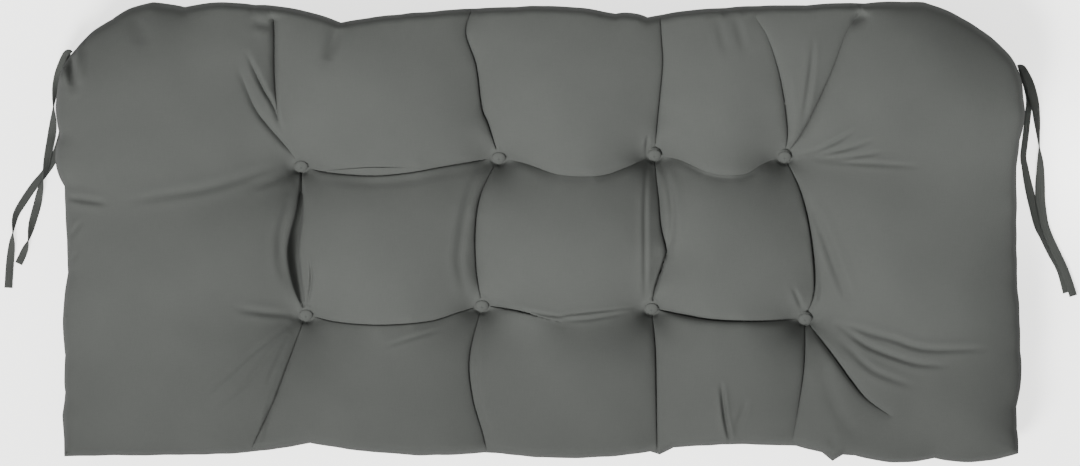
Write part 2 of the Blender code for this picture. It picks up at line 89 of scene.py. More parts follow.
camera = new_object("camera", bpy.data.cameras.new("camera"))
camera.location = (0, -CAMERA_NUDGE, CAMERA_HEIGHT)
camera.data.sensor_width = SENSOR_WIDTH
camera.data.lens = (SENSOR_WIDTH * (CAMERA_HEIGHT - SEAM_HEIGHT * MM)
                    / (PHOTO_WIDTH_PX * PHOTO_MM_PER_PX * MM))
camera.data.clip_end = CAMERA_SEES
bpy.context.scene.camera = camera

floor_mesh = bpy.data.meshes.new("floor")
floor_mesh.from_pydata([(x * PAPER_HALF, y * PAPER_HALF, -PAPER_DROP * MM)
                        for x, y in ((-1, -1), (1, -1), (1, 1), (-1, 1))], [], [(0, 1, 2, 3)])
floor = new_object("floor", floor_mesh)
# Matt white card: no gloss, so it shows as one even pale ground.
paper = bpy.data.materials.new("matt white card")
paper.use_nodes = True
paper_shader = paper.node_tree.nodes["Principled BSDF"]
paper_shader.inputs["Base Color"].default_value = linear("#FCFCFA")
paper_shader.inputs["Roughness"].default_value = 0.95
paper_shader.inputs["Specular IOR Level"].default_value = 0.1
paper_shader.inputs["Emission Color"].default_value = linear("#FCFCFA")
paper_shader.inputs["Emission Strength"].default_value = PAPER_GLOW
floor.data.materials.append(paper)
floor.visible_diffuse = False   # its glow would put a pale rim on the cushion's sides
floor.visible_glossy = False

SoftBox = namedtuple("SoftBox", "name place aim width depth spread watts")      # metres, degrees
for box in [SoftBox("large soft box", (-1.5, -2.65, 3.85), (0.15, 0.3, 0), 1.8, 1.6, 36, 24),
            SoftBox("small lamp over the ties", (0.80, 0.07, 1.2), (0.60, 0.07, 0),
                    0.06, 0.26, 12, 0.10)]:
    lamp = bpy.data.lights.new(box.name, "AREA")
    lamp.shape = "RECTANGLE"
    lamp.size = box.width
    lamp.size_y = box.depth
    lamp.energy = box.watts
    lamp.spread = math.radians(box.spread)
    light = new_object(box.name, lamp)
    light.location = box.place
    light.rotation_euler = (Vector(box.aim) - Vector(box.place)).to_track_quat("-Z", "Y").to_euler()

world = bpy.data.worlds.new("studio")
world.use_nodes = True
world.node_tree.nodes["Background"].inputs["Color"].default_value = (1, 1, 1, 1)
world.node_tree.nodes["Background"].inputs["Strength"].default_value = DAYLIGHT
bpy.context.scene.world = world


# ---- The cloth ties --------------------------------------------------------------------------
# Strips of the cover's own cloth, folded in three and stitched down one side, two sewn into the
# seam at each back corner.  They fall to the floor, twist, cross and end in plain cut ends.

TIE_THICKNESS = 1.6
FLOOR_GAP = 0.3                 # mm between pieces that touch
FRAY = 0.25                     # mm, how uneven a tie's folded sides are
CORD_SPACE = 0.1                # mm that its sections stay inside the nominal strip
# Each row: x, y and least height of the strip's middle, its width, all in mm, and how many degrees
# it is turned about its own length.
TIES = {
    "tie_left_over": [
        (-502.1, 191.8, 47, 5, 0), (-503.6, 192.8, 46.6, 5.5, 0), (-506.8, 191.8, 43.5, 6.5, 0),
        (-509.8, 186.5, 37, 7.5, 0), (-513.2, 178.5, 28, 8.5, 0), (-516.5, 169.5, 18, 9, 8),
        (-519.5, 158, 10, 9, 35), (-521.3, 147, 5, 8.5, 60), (-522.3, 136, 2, 8, 88),
        (-522.5, 126, 0, 8.5, 120), (-523, 116, 0, 9, 155), (-524.5, 104, 1, 9.5, 180),
        (-527, 90, 3.2, 9, 182), (-529.5, 77, 5, 8, 195), (-532, 62, 7, 7, 240),
        (-536.5, 45, 5.4, 8, 330), (-540, 29, 0, 9, 360), (-545, 11, 0, 8.5, 370),
        (-549, -7, 0, 7, 440), (-554, -21, 0, 8, 530), (-560, -34, 0, 8.5, 540)],
    "tie_left_under": [
        (-502, 191.8, 44.6, 5, 0), (-503.2, 192.8, 43.4, 5.5, 0), (-505.5, 191, 38, 6.5, 0),
        (-507.2, 186.2, 29, 7.5, 0), (-508.6, 180, 17, 8, 0), (-509, 173, 6.5, 8, 0),
        (-508.9, 165, 1, 8, 0), (-508.7, 152, 0, 8, 0), (-508.5, 140, 0, 8, 0),
        (-511, 118, 0, 8, 0), (-515.5, 98, 0, 8, 0), (-523, 77, 0, 8, 0),
        (-532, 63.5, 0, 8, 0), (-543, 50, 0, 8.5, 0), (-554, 34, 0, 8.5, 5),
        (-563, 18, 0, 8, 35), (-566, 0, 0, 7.5, 90), (-567.5, -16, 0, 8.5, 155),
        (-569.5, -36, 0, 9, 180), (-571, -60, 0, 9, 180)],
    "tie_right_over": [
        (511.7, 176.5, 47, 5, 0), (513.3, 177, 46.6, 5.5, 0), (516.8, 175.2, 43.5, 7, 0),
        (520.3, 168.5, 36, 9, 0), (524, 161, 26, 10, 0), (527.5, 152, 17, 10, 0),
        (530.5, 141, 9.5, 10, -10), (532.5, 130, 5, 9.5, -25), (533.8, 118, 2, 9, -45),
        (534.8, 106.5, 0, 8.5, -68), (536, 93, 0, 8, -90), (536.6, 84, 0, 8.5, -115),
        (537.1, 75.5, 0, 9.5, -135), (537.3, 63.5, 0.6, 10, -160), (537.1, 49.5, 2.0, 11, -178),
        (537.3, 35, 3.0, 11, -180), (539.3, 21.5, 3.2, 10, -178), (542, 7.5, 3.2, 9.5, -172),
        (547, -6.4, 3.2, 9.5, -170), (554.2, -21.7, 3.2, 9.5, -170), (562.8, -40, 3.2, 9.5, -170),
        (568.5, -55.2, 3.2, 9, -170), (572.8, -68.6, 3.2, 9, -170)],
    "tie_right_under": [
        (511.6, 176.5, 44.4, 5, 0), (512.9, 177, 43, 5.5, 0), (514.9, 175.2, 38, 6.5, 0),
        (517, 170.5, 29, 7, 0), (519.2, 164.5, 18, 7, 0), (521.8, 157.5, 8.5, 7, 0),
        (524.2, 149, 2.5, 7, 0), (525.4, 140, 0, 7, 0), (524.1, 126, 0, 7, 0),
        (522.6, 112, 0, 7, 0), (521, 98, 0, 7, 0), (519.3, 84.5, 0, 7, 0),
        (519.3, 78, 0, 7, 0), (521, 69, 0, 7.5, 0), (523.2, 56.5, 0, 8.5, 0),
        (526.3, 42.5, 0, 9.5, 0), (529.3, 28.5, 0, 9, 0), (534.3, 7.5, 0, 8, 0),
        (540.6, -6.4, 0, 7, 0), (548, -21.7, 0, 7, 0), (558.3, -41.3, 0, 7, 0),
        (565, -65.3, 0, 7, 0)]}
TIE_STEP = 2.0                  # mm between its sections,
SECTION_STEP = 1.3              # and on the cloth between the points round one of them
# The points round a tie's section: sideways, of half its width, and through it, of half its
# thickness.
TIE_SECTION = [(1.0, 0.0), (0.96, 0.8), (0.72, 1.0), (0.62, 0.62), (0.52, 1.0), (0.0, 0.86),
               (-0.6, 1.0), (-0.94, 0.85), (-1.0, 0.0), (-0.94, -0.85), (-0.5, -1.0), (0.0, -0.86),
               (0.5, -1.0), (0.94, -0.85)]


def smooth_route(points, spacing):
    """Evenly spaced points on the smooth curve through the given ones."""
    points = np.array(points, dtype=float)
    padded = np.vstack([2 * points[0] - points[1], points, 2 * points[-1] - points[-2]])
    fine = []
    for index in range(len(points) - 1):
        before, here, there, after = padded[index:index + 4]
        for t in np.linspace(0, 1, 16, endpoint=False):
            fine.append(0.5 * (2 * here + (there - before) * t
                               + (2 * before - 5 * here + 4 * there - after) * t ** 2
                               + (3 * here - before - 3 * there + after) * t ** 3))
    fine = np.array(fine + [points[-1]])
    stretches = np.linalg.norm(np.diff(fine[:, :3], axis=0), axis=1)
    lengths = np.concatenate([[0], np.cumsum(stretches)])
    places = np.linspace(0, lengths[-1], max(2, int(round(lengths[-1] / spacing)) + 1))
    return np.column_stack([np.interp(places, lengths, fine[:, k]) for k in range(fine.shape[1])])


def skin(bm, uv, rings, flat):
    """Closes rings of points into a tube; flat gives a corner's place on the cloth from its ring
    and its number in the ring."""
    for row, (here, there) in enumerate(zip(rings, rings[1:])):
        for k in range(len(here)):
            after = (k + 1) % len(here)
            face = bm.faces.new((here[k], here[after], there[after], there[k]))
            corners = ((row, k), (row, k + 1), (row + 1, k + 1), (row + 1, k))
            for loop, corner in zip(face.loops, corners):
                loop[uv].uv = flat(*corner)


def covered(bm, name, cloth):
    """The finished skin as an object in its cloth."""
    bmesh.ops.recalc_face_normals(bm, faces=bm.faces)
    mesh = bpy.data.meshes.new(name)
    bm.to_mesh(mesh)
    bm.free()
    mesh.shade_smooth()
    mesh.materials.append(cloth)
    return new_object(name, mesh)


def weave_height(tree, place, pitch_mm):
    """How proud the threads of a plain weave stand, 0 to 1: warp and weft pass over by turns."""
    split = add(tree, "ShaderNodeSeparateXYZ", [(0, place)])
    waves = []
    for axis in (0, 1):
        turn = add(tree, "ShaderNodeMath", [(0, split.outputs[axis]), (1, math.pi / pitch_mm)],
                   operation="MULTIPLY")
        waves.append(add(tree, "ShaderNodeMath", [(0, turn.outputs[0])], operation="SINE").outputs[0])
    product = add(tree, "ShaderNodeMath", enumerate(waves), operation="MULTIPLY")
    over = add(tree, "ShaderNodeMath", [(0, product.outputs[0]), (1, 0.0)], operation="GREATER_THAN")
    rounds = [add(tree, "ShaderNodeMath", [(0, wave)], operation="ABSOLUTE") for wave in waves]
    return add(tree, "ShaderNodeMix", [(0, over.outputs[0]), (2, rounds[0].outputs[0]),
                                       (3, rounds[1].outputs[0])]).outputs[0]


THREAD_PITCH = 0.9              # mm
THREAD_RISE = 0.12
SLUB_LENGTH = 12.5              # mm, of the thick and thin stretches of a thread
SLUB_WIDTH = 5 / 7
SLUB_TONE = 0.35                # how much they show in the colour
SLUB_RISE = 0.25                # and in the height, against the weave's 1
BLOTCH_SIZE = 250 / 3           # mm
BLOTCH_TONE = 0.5
FRONT_EDGE = -262.0             # mm, where the painted shade along the front edge is darkest, in the cloth's own places
FRONT_SHADE_ENDS = -130.0                 # and from where there is none


def woven_cloth(name, shaded_valley, lit_crest, front_shade_tone=1.0):
    """Spun polyester in a plain weave: matt, a little fuzzy, with uneven threads and soft blotches.
    The threads of the real cloth are about 0.45 mm apart.  They are drawn wider, so they show."""
    cloth = bpy.data.materials.new(name)
    cloth.use_nodes = True
    tree = cloth.node_tree
    shader = tree.nodes["Principled BSDF"]
    flat = add(tree, "ShaderNodeUVMap", uv_map="cloth")
    height = weave_height(tree, flat.outputs[0], THREAD_PITCH)
    slubs = []
    for wide, high in ((SLUB_LENGTH, SLUB_WIDTH), (SLUB_WIDTH, SLUB_LENGTH)):
        along = add(tree, "ShaderNodeMapping", [("Vector", flat.outputs[0]),
                                                ("Scale", (1 / wide, 1 / high, 1.0))])
        slubs.append(add(tree, "ShaderNodeTexNoise", [("Vector", along.outputs[0]), ("Scale", 1.0),
                                                      ("Detail", 2.0)]).outputs[0])
    uneven = add(tree, "ShaderNodeMath", enumerate(slubs), operation="ADD").outputs[0]
    blotch = add(tree, "ShaderNodeTexNoise", [("Vector", flat.outputs[0]),
                                              ("Scale", 1 / BLOTCH_SIZE), ("Detail", 3.0)])
    threads = add(tree, "ShaderNodeMath", [(0, uneven), (1, SLUB_TONE), (2, height)],
                  operation="MULTIPLY_ADD")
    shade = add(tree, "ShaderNodeMath", [(0, blotch.outputs[0]), (1, BLOTCH_TONE),
                                         (2, threads.outputs[0])], operation="MULTIPLY_ADD")
    tone = add(tree, "ShaderNodeMapRange", [("Value", shade.outputs[0]), ("From Min", 0.25),
                                            ("From Max", 1.75)])
    # The weave's valleys take the darker colour and its crests the lighter one: painted shade between
    # the threads, mixed with the real uneven tone of the slubs and blotches.
    colour = add(tree, "ShaderNodeMix", [(0, tone.outputs[0]), (6, linear(shaded_valley)),
                                         (7, linear(lit_crest))], data_type="RGBA")
    # Painted shade: the cloth's colour darkens towards the front edge, as if that edge lay in shade.
    level = add(tree, "ShaderNodeSeparateXYZ", [(0, flat.outputs[0])])
    shaded_front = add(tree, "ShaderNodeMapRange", [("Value", level.outputs[1]), ("From Min", FRONT_EDGE),
                                              ("From Max", FRONT_SHADE_ENDS), ("To Min", front_shade_tone)])
    toned = add(tree, "ShaderNodeVectorMath", [(0, colour.outputs[2]), ("Scale", shaded_front.outputs[0])],
                operation="SCALE")
    tree.links.new(toned.outputs[0], shader.inputs["Base Color"])
    relief = add(tree, "ShaderNodeMath", [(0, uneven), (1, SLUB_RISE), (2, height)],
                 operation="MULTIPLY_ADD")
    bump = add(tree, "ShaderNodeBump", [("Height", relief.outputs[0]), ("Strength", 0.6),
                                        ("Distance", THREAD_RISE * MM)])
    tree.links.new(bump.outputs[0], shader.inputs["Normal"])
    shader.inputs["Roughness"].default_value = 0.95
    shader.inputs["Specular IOR Level"].default_value = 0.15
    shader.inputs["Sheen Weight"].default_value = 0.05
    shader.inputs["Sheen Roughness"].default_value = 0.5
    return cloth


# The ties' cloth is cut from the same roll; its colours are set darker than the cover's as painted
# shade, for the ties lie in the cushion's shade.
shaded_tie_cloth = woven_cloth("woven polyester of the ties, with painted shade", "#343634", "#4A4C49")

for name, route in TIES.items():
    sections = smooth_route(route, TIE_STEP)
    ahead = np.gradient(sections[:, :3], axis=0)
    ahead /= np.linalg.norm(ahead, axis=1)[:, None]
    bm = bmesh.new()
    uv = bm.loops.layers.uv.new("cloth")
    rings = []
    for index, (row, along) in enumerate(zip(sections, ahead)):
        width, turn = row[3], math.radians(row[4])
        lying = abs(math.sin(turn)) * width / 2 + abs(math.cos(turn)) * TIE_THICKNESS / 2
        middle = Vector((row[0], row[1], max(row[2], lying + FLOOR_GAP)))
        along = Vector(along)
        level = along.cross(Vector((0, 0, 1))).normalized()
        side = level * math.cos(turn) + level.cross(along) * math.sin(turn)
        face = along.cross(side)
        ring = []
        for sideways, through in TIE_SECTION:
            fray = FRAY * noise.noise(Vector((index * 0.9, sideways * 3, len(name))))
            corner = middle + side * sideways * (width / 2 - CORD_SPACE + fray)
            corner += face * through * (TIE_THICKNESS - CORD_SPACE) / 2
            ring.append(bm.verts.new(corner * MM))
        rings.append(ring)
    skin(bm, uv, rings, lambda row, step: (step * SECTION_STEP, row * TIE_STEP))
    for ring, turned in ((rings[0], True), (rings[-1], False)):
        cap = bm.faces.new(ring[::-1] if turned else ring)
        for loop in cap.loops:
            loop[uv].uv = (loop.vert.co.x / MM, loop.vert.co.z / MM)
    bmesh.ops.triangulate(bm, faces=[f for f in bm.faces if len(f.verts) > 4])
    tie = covered(bm, name.replace("tie", "cloth_tie"), shaded_tie_cloth)
    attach(tie, "root")
    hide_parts(name)


# ---- The filled cover ------------------------------------------------------------------------
# Two cut panels of plain-weave cloth sewn together round the edge and filled with loose fibre,
# so the edge is a knife edge.  Eight threads draw the face down, and creases run between them.

CROWN_HEIGHT = 116.0            # mm above the floor to the tops of the puffs
SIDE_REACH = 105.0              # how far in from the seam the face still rises, at the two ends
FRONT_REACH = 10.0              # and along the front and the back, where it stands up steeply
FRONT_TO = 330.0                # mm from the middle, where the front's rise ends
SIDE_FROM = 500.0               # and where the ends' has taken its place
FACE_FULLNESS = 0.31            # the smaller, the steeper the face stands on the seam
SLOW_SHARE = 0.13               # of the rise at the front and the back comes slowly
SLOW_REACH = 46.0
UNDER_REACH = 72.0
UNDER_FULLNESS = 0.40
UNDER_DIMPLE = 16.0
UNDER_DIMPLE_REACH = 42.0
TUFT_DEPTH = 44.0
TUFT_REACH = 22.0
MERGE_POWER = 3.0               # how softly the tufts and creases run into one another
FLOOR_POWER = 10.0              # and how sharply they end at a tuft's depth
TROUGH_ROUND = 14.0             # mm, the roundness of a soft trough
ROUTE_STEP = 10.0               # mm between the points that stand for a crease's route
CREASE_REACHES = 5              # how many times its reach a crease is felt
MIDDLES = (0.4, 0.6)            # a crease has its middle depth between these shares of its route
STEP_FROM = -1.2                # mm beside a crease, where the lower side starts to step down
STEP_TO = 4.0                   # and where it has done so
FULL_DRAW = 1.15                # the face is drawn down fully from 1 / 1.15 of its rise
BUTTON_WIDTH = 15.0
BUTTON_SEAT = 7.5
BUTTON_TILT = math.radians(42)  # the buttons face towards the front
LEAN_BEHIND = 21.0              # how far the cloth round a button leans with it, mm
LEAN_BEFORE = 6.0
HOLLOW = 5.5                    # the hollow under the front of each button, in mm: its depth,
HOLLOW_ACROSS = 16.0            # how far it spreads to the sides
HOLLOW_ALONG = 8.0              # and to the front and back,
HOLLOW_PLACE = -6.5             # and its place from the button's middle
RIM_SHADOW = 2.4                # mm, how far the cloth tucks in under a button's lower rim
RIM_HUG = 1.6                   # mm, how far it rides up on the upper rim

# The seam's corners, and how far the stretch that follows each one bulges outwards, mm.
SeamPoint = namedtuple("SeamPoint", "x y bulge")
SEAM = [SeamPoint(*row) for row in [
    (-496, 196, 3), (-458, 228, 3), (-414, 246, 1), (-380, 241, 4), (-305, 243, 5),
    (-213, 224, 0), (-180, 230, 2), (-25, 241, 4), (81, 234, 3), (115, 230, 2),
    (199, 240, 1), (285, 243, 1), (348, 245, 1), (411, 246, 3), (471, 217, 1),
    (495, 198, 1), (509, 179, 1), (517, 154, 0), (519, 129, 1), (513, 98, 0), (510, 68, 0),
    (510, -18, 0), (511, -59, 1), (514, -128, 3), (510, -187, 0), (510, -211, 1), (512, -237, 5),
    (432, -244, 0), (422, -242, 6), (337, -239, 0), (324, -238, 0), (313, -245, 0),
    (302, -236, 0), (274, -229, 0), (207, -227, 0), (143, -230.5, 0), (128, -238, 0),
    (118, -235, 6),
    (-41, -237, 0), (-60, -236, 1), (-128, -239, 2), (-246, -226, 1), (-300, -234, 0),
    (-314, -236, 1), (-439, -239, 0), (-509, -240, 0), (-511, -196, 0), (-508, -171, 1),
    (-508, -132, 4), (-505, -43, 0), (-509, 49, 7), (-514, 103, 4), (-514, 167, 2)]]

# The gap is how deep the dark gap is between cloth and button at its upper right, mm.
Tuft = namedtuple("Tuft", "name x y gap")
TUFTS = [
    Tuft("button_back_1", -255, 71, 0.0), Tuft("button_back_2", -44, 80, 0.0),
    Tuft("button_back_3", 122, 83, 4.0), Tuft("button_back_4", 261, 81, 4.0),
    Tuft("button_front_1", -250, -88, 0.0), Tuft("button_front_2", -62, -78, 0.0),
    Tuft("button_front_3", 119, -81, 0.0), Tuft("button_front_4", 283, -92, 4.0)]

# Creases, in mm: depth below the crown at the start, middle and end, how soon the slopes die out
# to the left and right of the route, how far the left side hangs over the right one, half the
# width of the dark gap, the radius of the folded rims (0 for a soft trough), the share of the
# route where the gap is widest, and the share over which it dies out at its end.
Crease = namedtuple("Crease", "name start middle end left right step gap fold widest fade route")
CREASES = [
    Crease("back row, first", 42, 16, 42, 23, 30, 4, 0.22, 1.8, 0.40, 0,
           [(-255, 71), (-229, 64), (-182, 60), (-141, 63), (-102, 70), (-44, 80)]),
    Crease("back row, second", 42, 12, 42, 22, 22, 2, 0, 2.5, 0.50, 0,
           [(-44, 80), (-15, 73), (21, 61), (63, 60), (92, 69), (122, 83)]),
    Crease("back row, third", 42, 14, 42, 22, 22, 5, 0, 2.5, 0.50, 0,
           [(122, 83), (149, 77), (183, 62.5), (217, 61.5), (238, 73), (261, 81)]),
    Crease("front row, first", 42, 10, 42, 25, 60, 0, 0.24, 1.6, 0.45, 0,
           [(-250, -88), (-216, -96), (-168, -99), (-118, -95), (-88, -86), (-62, -78)]),
    Crease("front row, second", 42, 13, 0, 22, 18, 0, 0.45, 2, 0.45, 0.5,
           [(-62, -78), (-40, -81), (-19, -85), (5, -92), (24, -96)]),
    Crease("front row, its soft end", 8, 25, 42, 22, 20, 0, 0, 0, 0.50, 0,
           [(-14, -87), (15, -94), (64, -95), (86, -91), (119, -81)]),
    Crease("front row, third", 42, 10, 42, 20, 14, 0, 0.85, 2.5, 0.35, 0.3,
           [(119, -81), (156, -89), (190, -94), (240, -95), (283, -92)]),
    Crease("first column", 42, 30, 42, 28, 28, 0, 6.40, 2, 0.60, 0,
           [(-255, 71), (-256, 26), (-260.5, 0), (-263, -19), (-261.5, -38), (-257.5, -60),
            (-250, -88)]),
    Crease("second column", 42, 24, 42, 27, 27, 0, 0.60, 2, 0.40, 0,
           [(-44, 80), (-63, 41), (-69, 3), (-68, -40), (-62, -78)]),
    Crease("third column", 42, 26, 42, 26, 26, 0, 0.90, 2, 0.70, 0,
           [(122, 83), (124, 60), (126.5, 37), (129, 7), (133.5, -13), (135, -21), (133.5, -27),
            (128, -44), (122, -62), (119, -81)]),
    Crease("fourth column", 42, 27, 42, 26, 45, 0, 1.00, 2.5, 0.60, 0,
           [(261, 81), (279, 41), (290, -10), (293, -61), (283, -92)]),
    Crease("first column to the back", 13, 14, 8, 5.0, 7.0, 0, 0.22, 1.0, 0.50, 0.2,
           [(-283.5, 226), (-283, 208), (-283, 174), (-282, 153), (-279, 120)]),
    Crease("second column to the back", 40, 19, 20, 27, 27, 0, 0.50, 2.5, 0.35, 0,
           [(-44, 80), (-55, 115), (-62, 133), (-68, 178), (-79, 213), (-72, 240)]),
    Crease("third column to the back", 40, 17, 16, 26, 26, 0, 0.30, 2, 0.40, 0,
           [(122, 83), (127, 135), (131, 180), (130, 200), (128, 231)]),
    Crease("fourth column to the back", 40, 14, 12, 20, 20, 0, 0.28, 2, 0.30, 0.6,
           [(261, 81), (282, 110), (309, 167), (327, 214), (340, 232)]),
    Crease("fourth column fan", 40, 12, 3, 15, 15, 0, 0.26, 2, 0.30, 0.75,
           [(261, 81), (264, 111), (256, 164), (243, 206), (230, 228)]),
    Crease("back corner fan", 36, 9, 1, 16, 14, 0, 0, 2.5, 0.40, 0.5,
           [(-255, 71), (-273, 94), (-287, 110), (-304, 133), (-319, 170)]),
    Crease("beside the back corner fan", 6, 6, 0, 6, 9, 0, 0, 2.2, 0.30, 0.7,
           [(-279, 122), (-285, 136), (-294, 151), (-304, 172), (-311, 187)]),
    Crease("above the back row, first", 1, 3, 1, 4, 4, 0, 0.16, 1.0, 0.50, 0.4,
           [(-229, 65.5), (-205, 67.5), (-177, 69), (-130, 68.6)]),
    Crease("left trough", 36, 9, 8, 33, 33, 0, 0, 0, 0.50, 0,
           [(-255, 71), (-304, 58), (-362, 45), (-434, 32), (-507, 22)]),
    Crease("left front trough", 36, 7, 5, 32, 32, 0, 0, 0, 0.50, 0,
           [(-250, -88), (-319, -86), (-410, -90), (-505, -90)]),
    Crease("right trough", 36, 7, 5, 27, 27, 0, 0, 0, 0.50, 0,
           [(261, 81), (309, 80), (398, 72), (510, 66)]),
    Crease("right front trough", 36, 10, 6, 30, 30, 0, 0, 0, 0.50, 0,
           [(283, -92), (327, -101), (405, -128), (512, -128)]),
    Crease("first column to the front", 40, 20, 20, 26, 48, 0, 0.72, 1.6, 0.58, 0,
           [(-250, -88), (-268, -137), (-284, -180), (-302, -219), (-310, -236)]),
    Crease("second column to the front", 40, 18, 18, 26, 26, 0, 0.35, 2, 0.45, 0,
           [(-62, -78), (-75, -132), (-72, -175), (-62, -211), (-56, -236)]),
    Crease("third column to the front", 40, 17, 18, 25, 25, 0, 0.50, 2, 0.45, 0,
           [(119, -81), (123, -123), (124, -177), (125, -237)]),
    Crease("fourth column to the front", 40, 15, 8, 21, 21, 0, 0.32, 2, 0.30, 0.6,
           [(283, -92), (282, -138), (276, -182), (268, -228)]),
    Crease("front corner fan", 38, 14, 4, 18, 10, 0, 0.75, 2.2, 0.60, 0.35,
           [(283, -92), (298, -113), (314, -134), (330.5, -157), (348, -178), (372, -195)])]

# Small wrinkles, in mm: depth, half-width, and the route.  They die out at both ends.
Wrinkle = namedtuple("Wrinkle", "depth width route")
WRINKLES = [Wrinkle(*row) for row in [
    (1.4, 2.5, [(-262, 84), (-273, 94), (-287, 110), (-304, 133), (-319, 168)]),
    (2.2, 2.5, [(-274.5, 108), (-285, 136), (-294, 151), (-304, 172), (-312, 190)]),
    (2.0, 4.0, [(-270, 67), (-294, 65), (-320, 57), (-358, 46), (-402, 39), (-440, 32)]),
    (2.4, 3.0, [(-322, -82), (-300, -85), (-280, -87), (-258, -88)]),
    (2.2, 4.0, [(-60, 74), (-74, 44), (-81, 14), (-85, -14), (-86, -34), (-79, -68)]),
    (1.8, 3.5, [(-266, 40), (-272, 17), (-277, -4), (-277, -31), (-272, -52)]),
    (3.0, 1.3, [(-245, -30), (-244, -51), (-248, -78)]),
    (2.2, 2.2, [(114, 76), (112, 30), (112, -20), (112, -72)]),
    (3.4, 3.2, [(131, 71), (138, 48), (141, 22), (140, -4), (136, -26)]),
    (2.5, 1.2, [(135, -19), (131, -36), (125, -54), (120, -74)]),
    (2.6, 1.8, [(292, -24), (294, -34), (296, -66), (290, -84)]),
    (5.0, 4.3, [(286, 32), (297, 10), (306, -14), (316, -42), (330, -76)]),
    (1.9, 2.2, [(270, -60), (274, -68), (281, -84)]),
    (0.9, 2.2, [(-165, -122), (-138, -113), (-106, -104)]),
    (1.9, 1.6, [(-40, -79), (15, -89), (35, -87), (100, -80)]),
    (1.2, 1.8, [(20, -94), (50, -93), (92, -86)]),
    (2.2, 4.0, [(-264, 64), (-285, 56), (-308, 47)]),
    (3.4, 3.0, [(-511, 38), (-490, 35), (-462, 31)]),
    (1.8, 2.5, [(-506, -10), (-498, 0), (-488, 12)]),
    (1.6, 2.5, [(-505, -38), (-494, -21)]),
    (1.9, 2.2, [(278, 84), (290, 86), (309, 93), (336, 109)]),
    (1.8, 2.3, [(280, 82), (296, 83), (323, 88), (357, 99)]),
    (1.6, 2.2, [(284, 79), (330, 80), (366, 86)]),
    (1.3, 2.4, [(286, 77), (351, 73), (404, 70)]),
    (1.3, 2.4, [(-269, -99), (-301, -124), (-331, -151), (-356, -174)]),
    (1.2, 2.6, [(-272, -111), (-289, -130), (-313, -160), (-346, -188)]),
    (1.0, 2.2, [(-268, -112), (-281, -140), (-292, -165)]),
    (4.6, 2.0, [(193, -162), (197, -198), (204, -229)]),
    (2.0, 3.0, [(220, -180), (208, -212)]),
    (2.7, 2.9, [(316, -97), (335, -102), (357, -109), (378, -115), (398, -122), (417, -125),
                (438, -125), (474, -124)]),
    (2.7, 2.7, [(316, -99), (329, -107), (347, -120), (362, -127), (378, -133), (402, -140),
                (432, -142)]),
    (2.0, 3.2, [(322, -118), (334, -129), (345, -140), (358, -149), (375, -156), (396, -163)]),
    (1.8, 7.0, [(300, -130), (309, -171), (323, -199), (345, -222)]),
    (2.4, 4.5, [(312, -216), (311, -232), (312, -243)]),
    (3.2, 1.6, [(115, 102), (114, 92), (114, 82)]),
    (3.0, 9.0, [(-436, 240), (-428, 220), (-420, 198)]),
    (2.4, 2.6, [(280, 116), (285, 146), (289, 176), (291, 203)]),
    (6.5, 6.0, [(-214, 222), (-219, 206), (-228, 182)]),
    (3.0, 4.3, [(-306, 221), (-297, 222), (-287, 220)]),
    (1.3, 4.0, [(189, 228), (193, 210), (198, 190)]),
    (1.3, 4.0, [(209, 230), (213, 212), (218, 192)]),
    (13.0, 4.2, [(-502, 202), (-501, 187), (-500, 172), (-498, 155)]),
    (4.2, 4.6, [(332, 221), (340, 228), (348, 232)]),
    (1.5, 2.4, [(-58, -92), (-67, -132), (-66, -175), (-56, -214)]),
    (1.3, 2.0, [(-286, -176), (-296, -215), (-301, -236)]),
    (1.2, 2.2, [(266, 165), (268, 132), (266, 100)])]]


def seam_outline(spacing):
    """The seam as a closed run of points: one shallow arc for each row of the table."""
    outline = []
    for index, here in enumerate(SEAM):
        there = SEAM[(index + 1) % len(SEAM)]
        start = np.array([here.x, here.y], dtype=float)
        chord = np.array([there.x, there.y]) - start
        length = np.linalg.norm(chord)
        outward = np.array([-chord[1], chord[0]]) / length
        steps = max(1, int(round(length / spacing)))
        for t in np.arange(steps) / steps:
            outline.append(start + chord * t + outward * here.bulge * 4 * t * (1 - t))
    return np.array(outline)


def nearest_on(points, line, reach=np.inf):
    """Each point's distance to a run of points, the share along it, the side (1 on its left, -1 on
    its right, less behind its ends) and the foot.  Points further off than the reach are skipped."""
    near = np.all((points > line.min(axis=0) - reach) & (points < line.max(axis=0) + reach), axis=1)
    some = points[near]
    best = np.full(len(some), np.inf)
    found = np.zeros((len(some), 4))
    steps = len(line) - 1
    for index in range(steps):
        edge = line[index + 1] - line[index]
        away = some - line[index]
        t = np.clip(away @ edge / max(edge @ edge, 1e-9), 0, 1)
        there = line[index] + t[:, None] * edge
        distance = np.hypot(*(some - there).T)
        closer = distance < best
        best[closer] = distance[closer]
        found[closer, 0] = (index + t[closer]) / steps
        square = (edge[0] * away[closer, 1] - edge[1] * away[closer, 0]) / np.hypot(*edge)
        near_by = np.maximum(distance[closer], 1e-6)
        found[closer, 1] = np.where(near_by < 0.01, 1, np.clip(square / near_by, -1, 1))
        found[closer, 2:] = there[closer]
    gap = np.full(len(points), np.inf)
    rest = np.zeros((len(points), 4))
    gap[near], rest[near] = best, found
    return gap, rest[:, 0], rest[:, 1], rest[:, 2:]


def inside_seam(points, outline):
    """Which points lie inside the seam."""
    inside = np.zeros(len(points), dtype=bool)
    for start, end in zip(outline, np.roll(outline, -1, axis=0)):
        rise = end[1] - start[1]
        if rise == 0:
            continue
        crosses = (start[1] > points[:, 1]) != (end[1] > points[:, 1])
        over = (points[:, 1] - start[1]) * (end[0] - start[0]) / rise
        inside ^= crosses & (points[:, 0] < start[0] + over)
    return inside


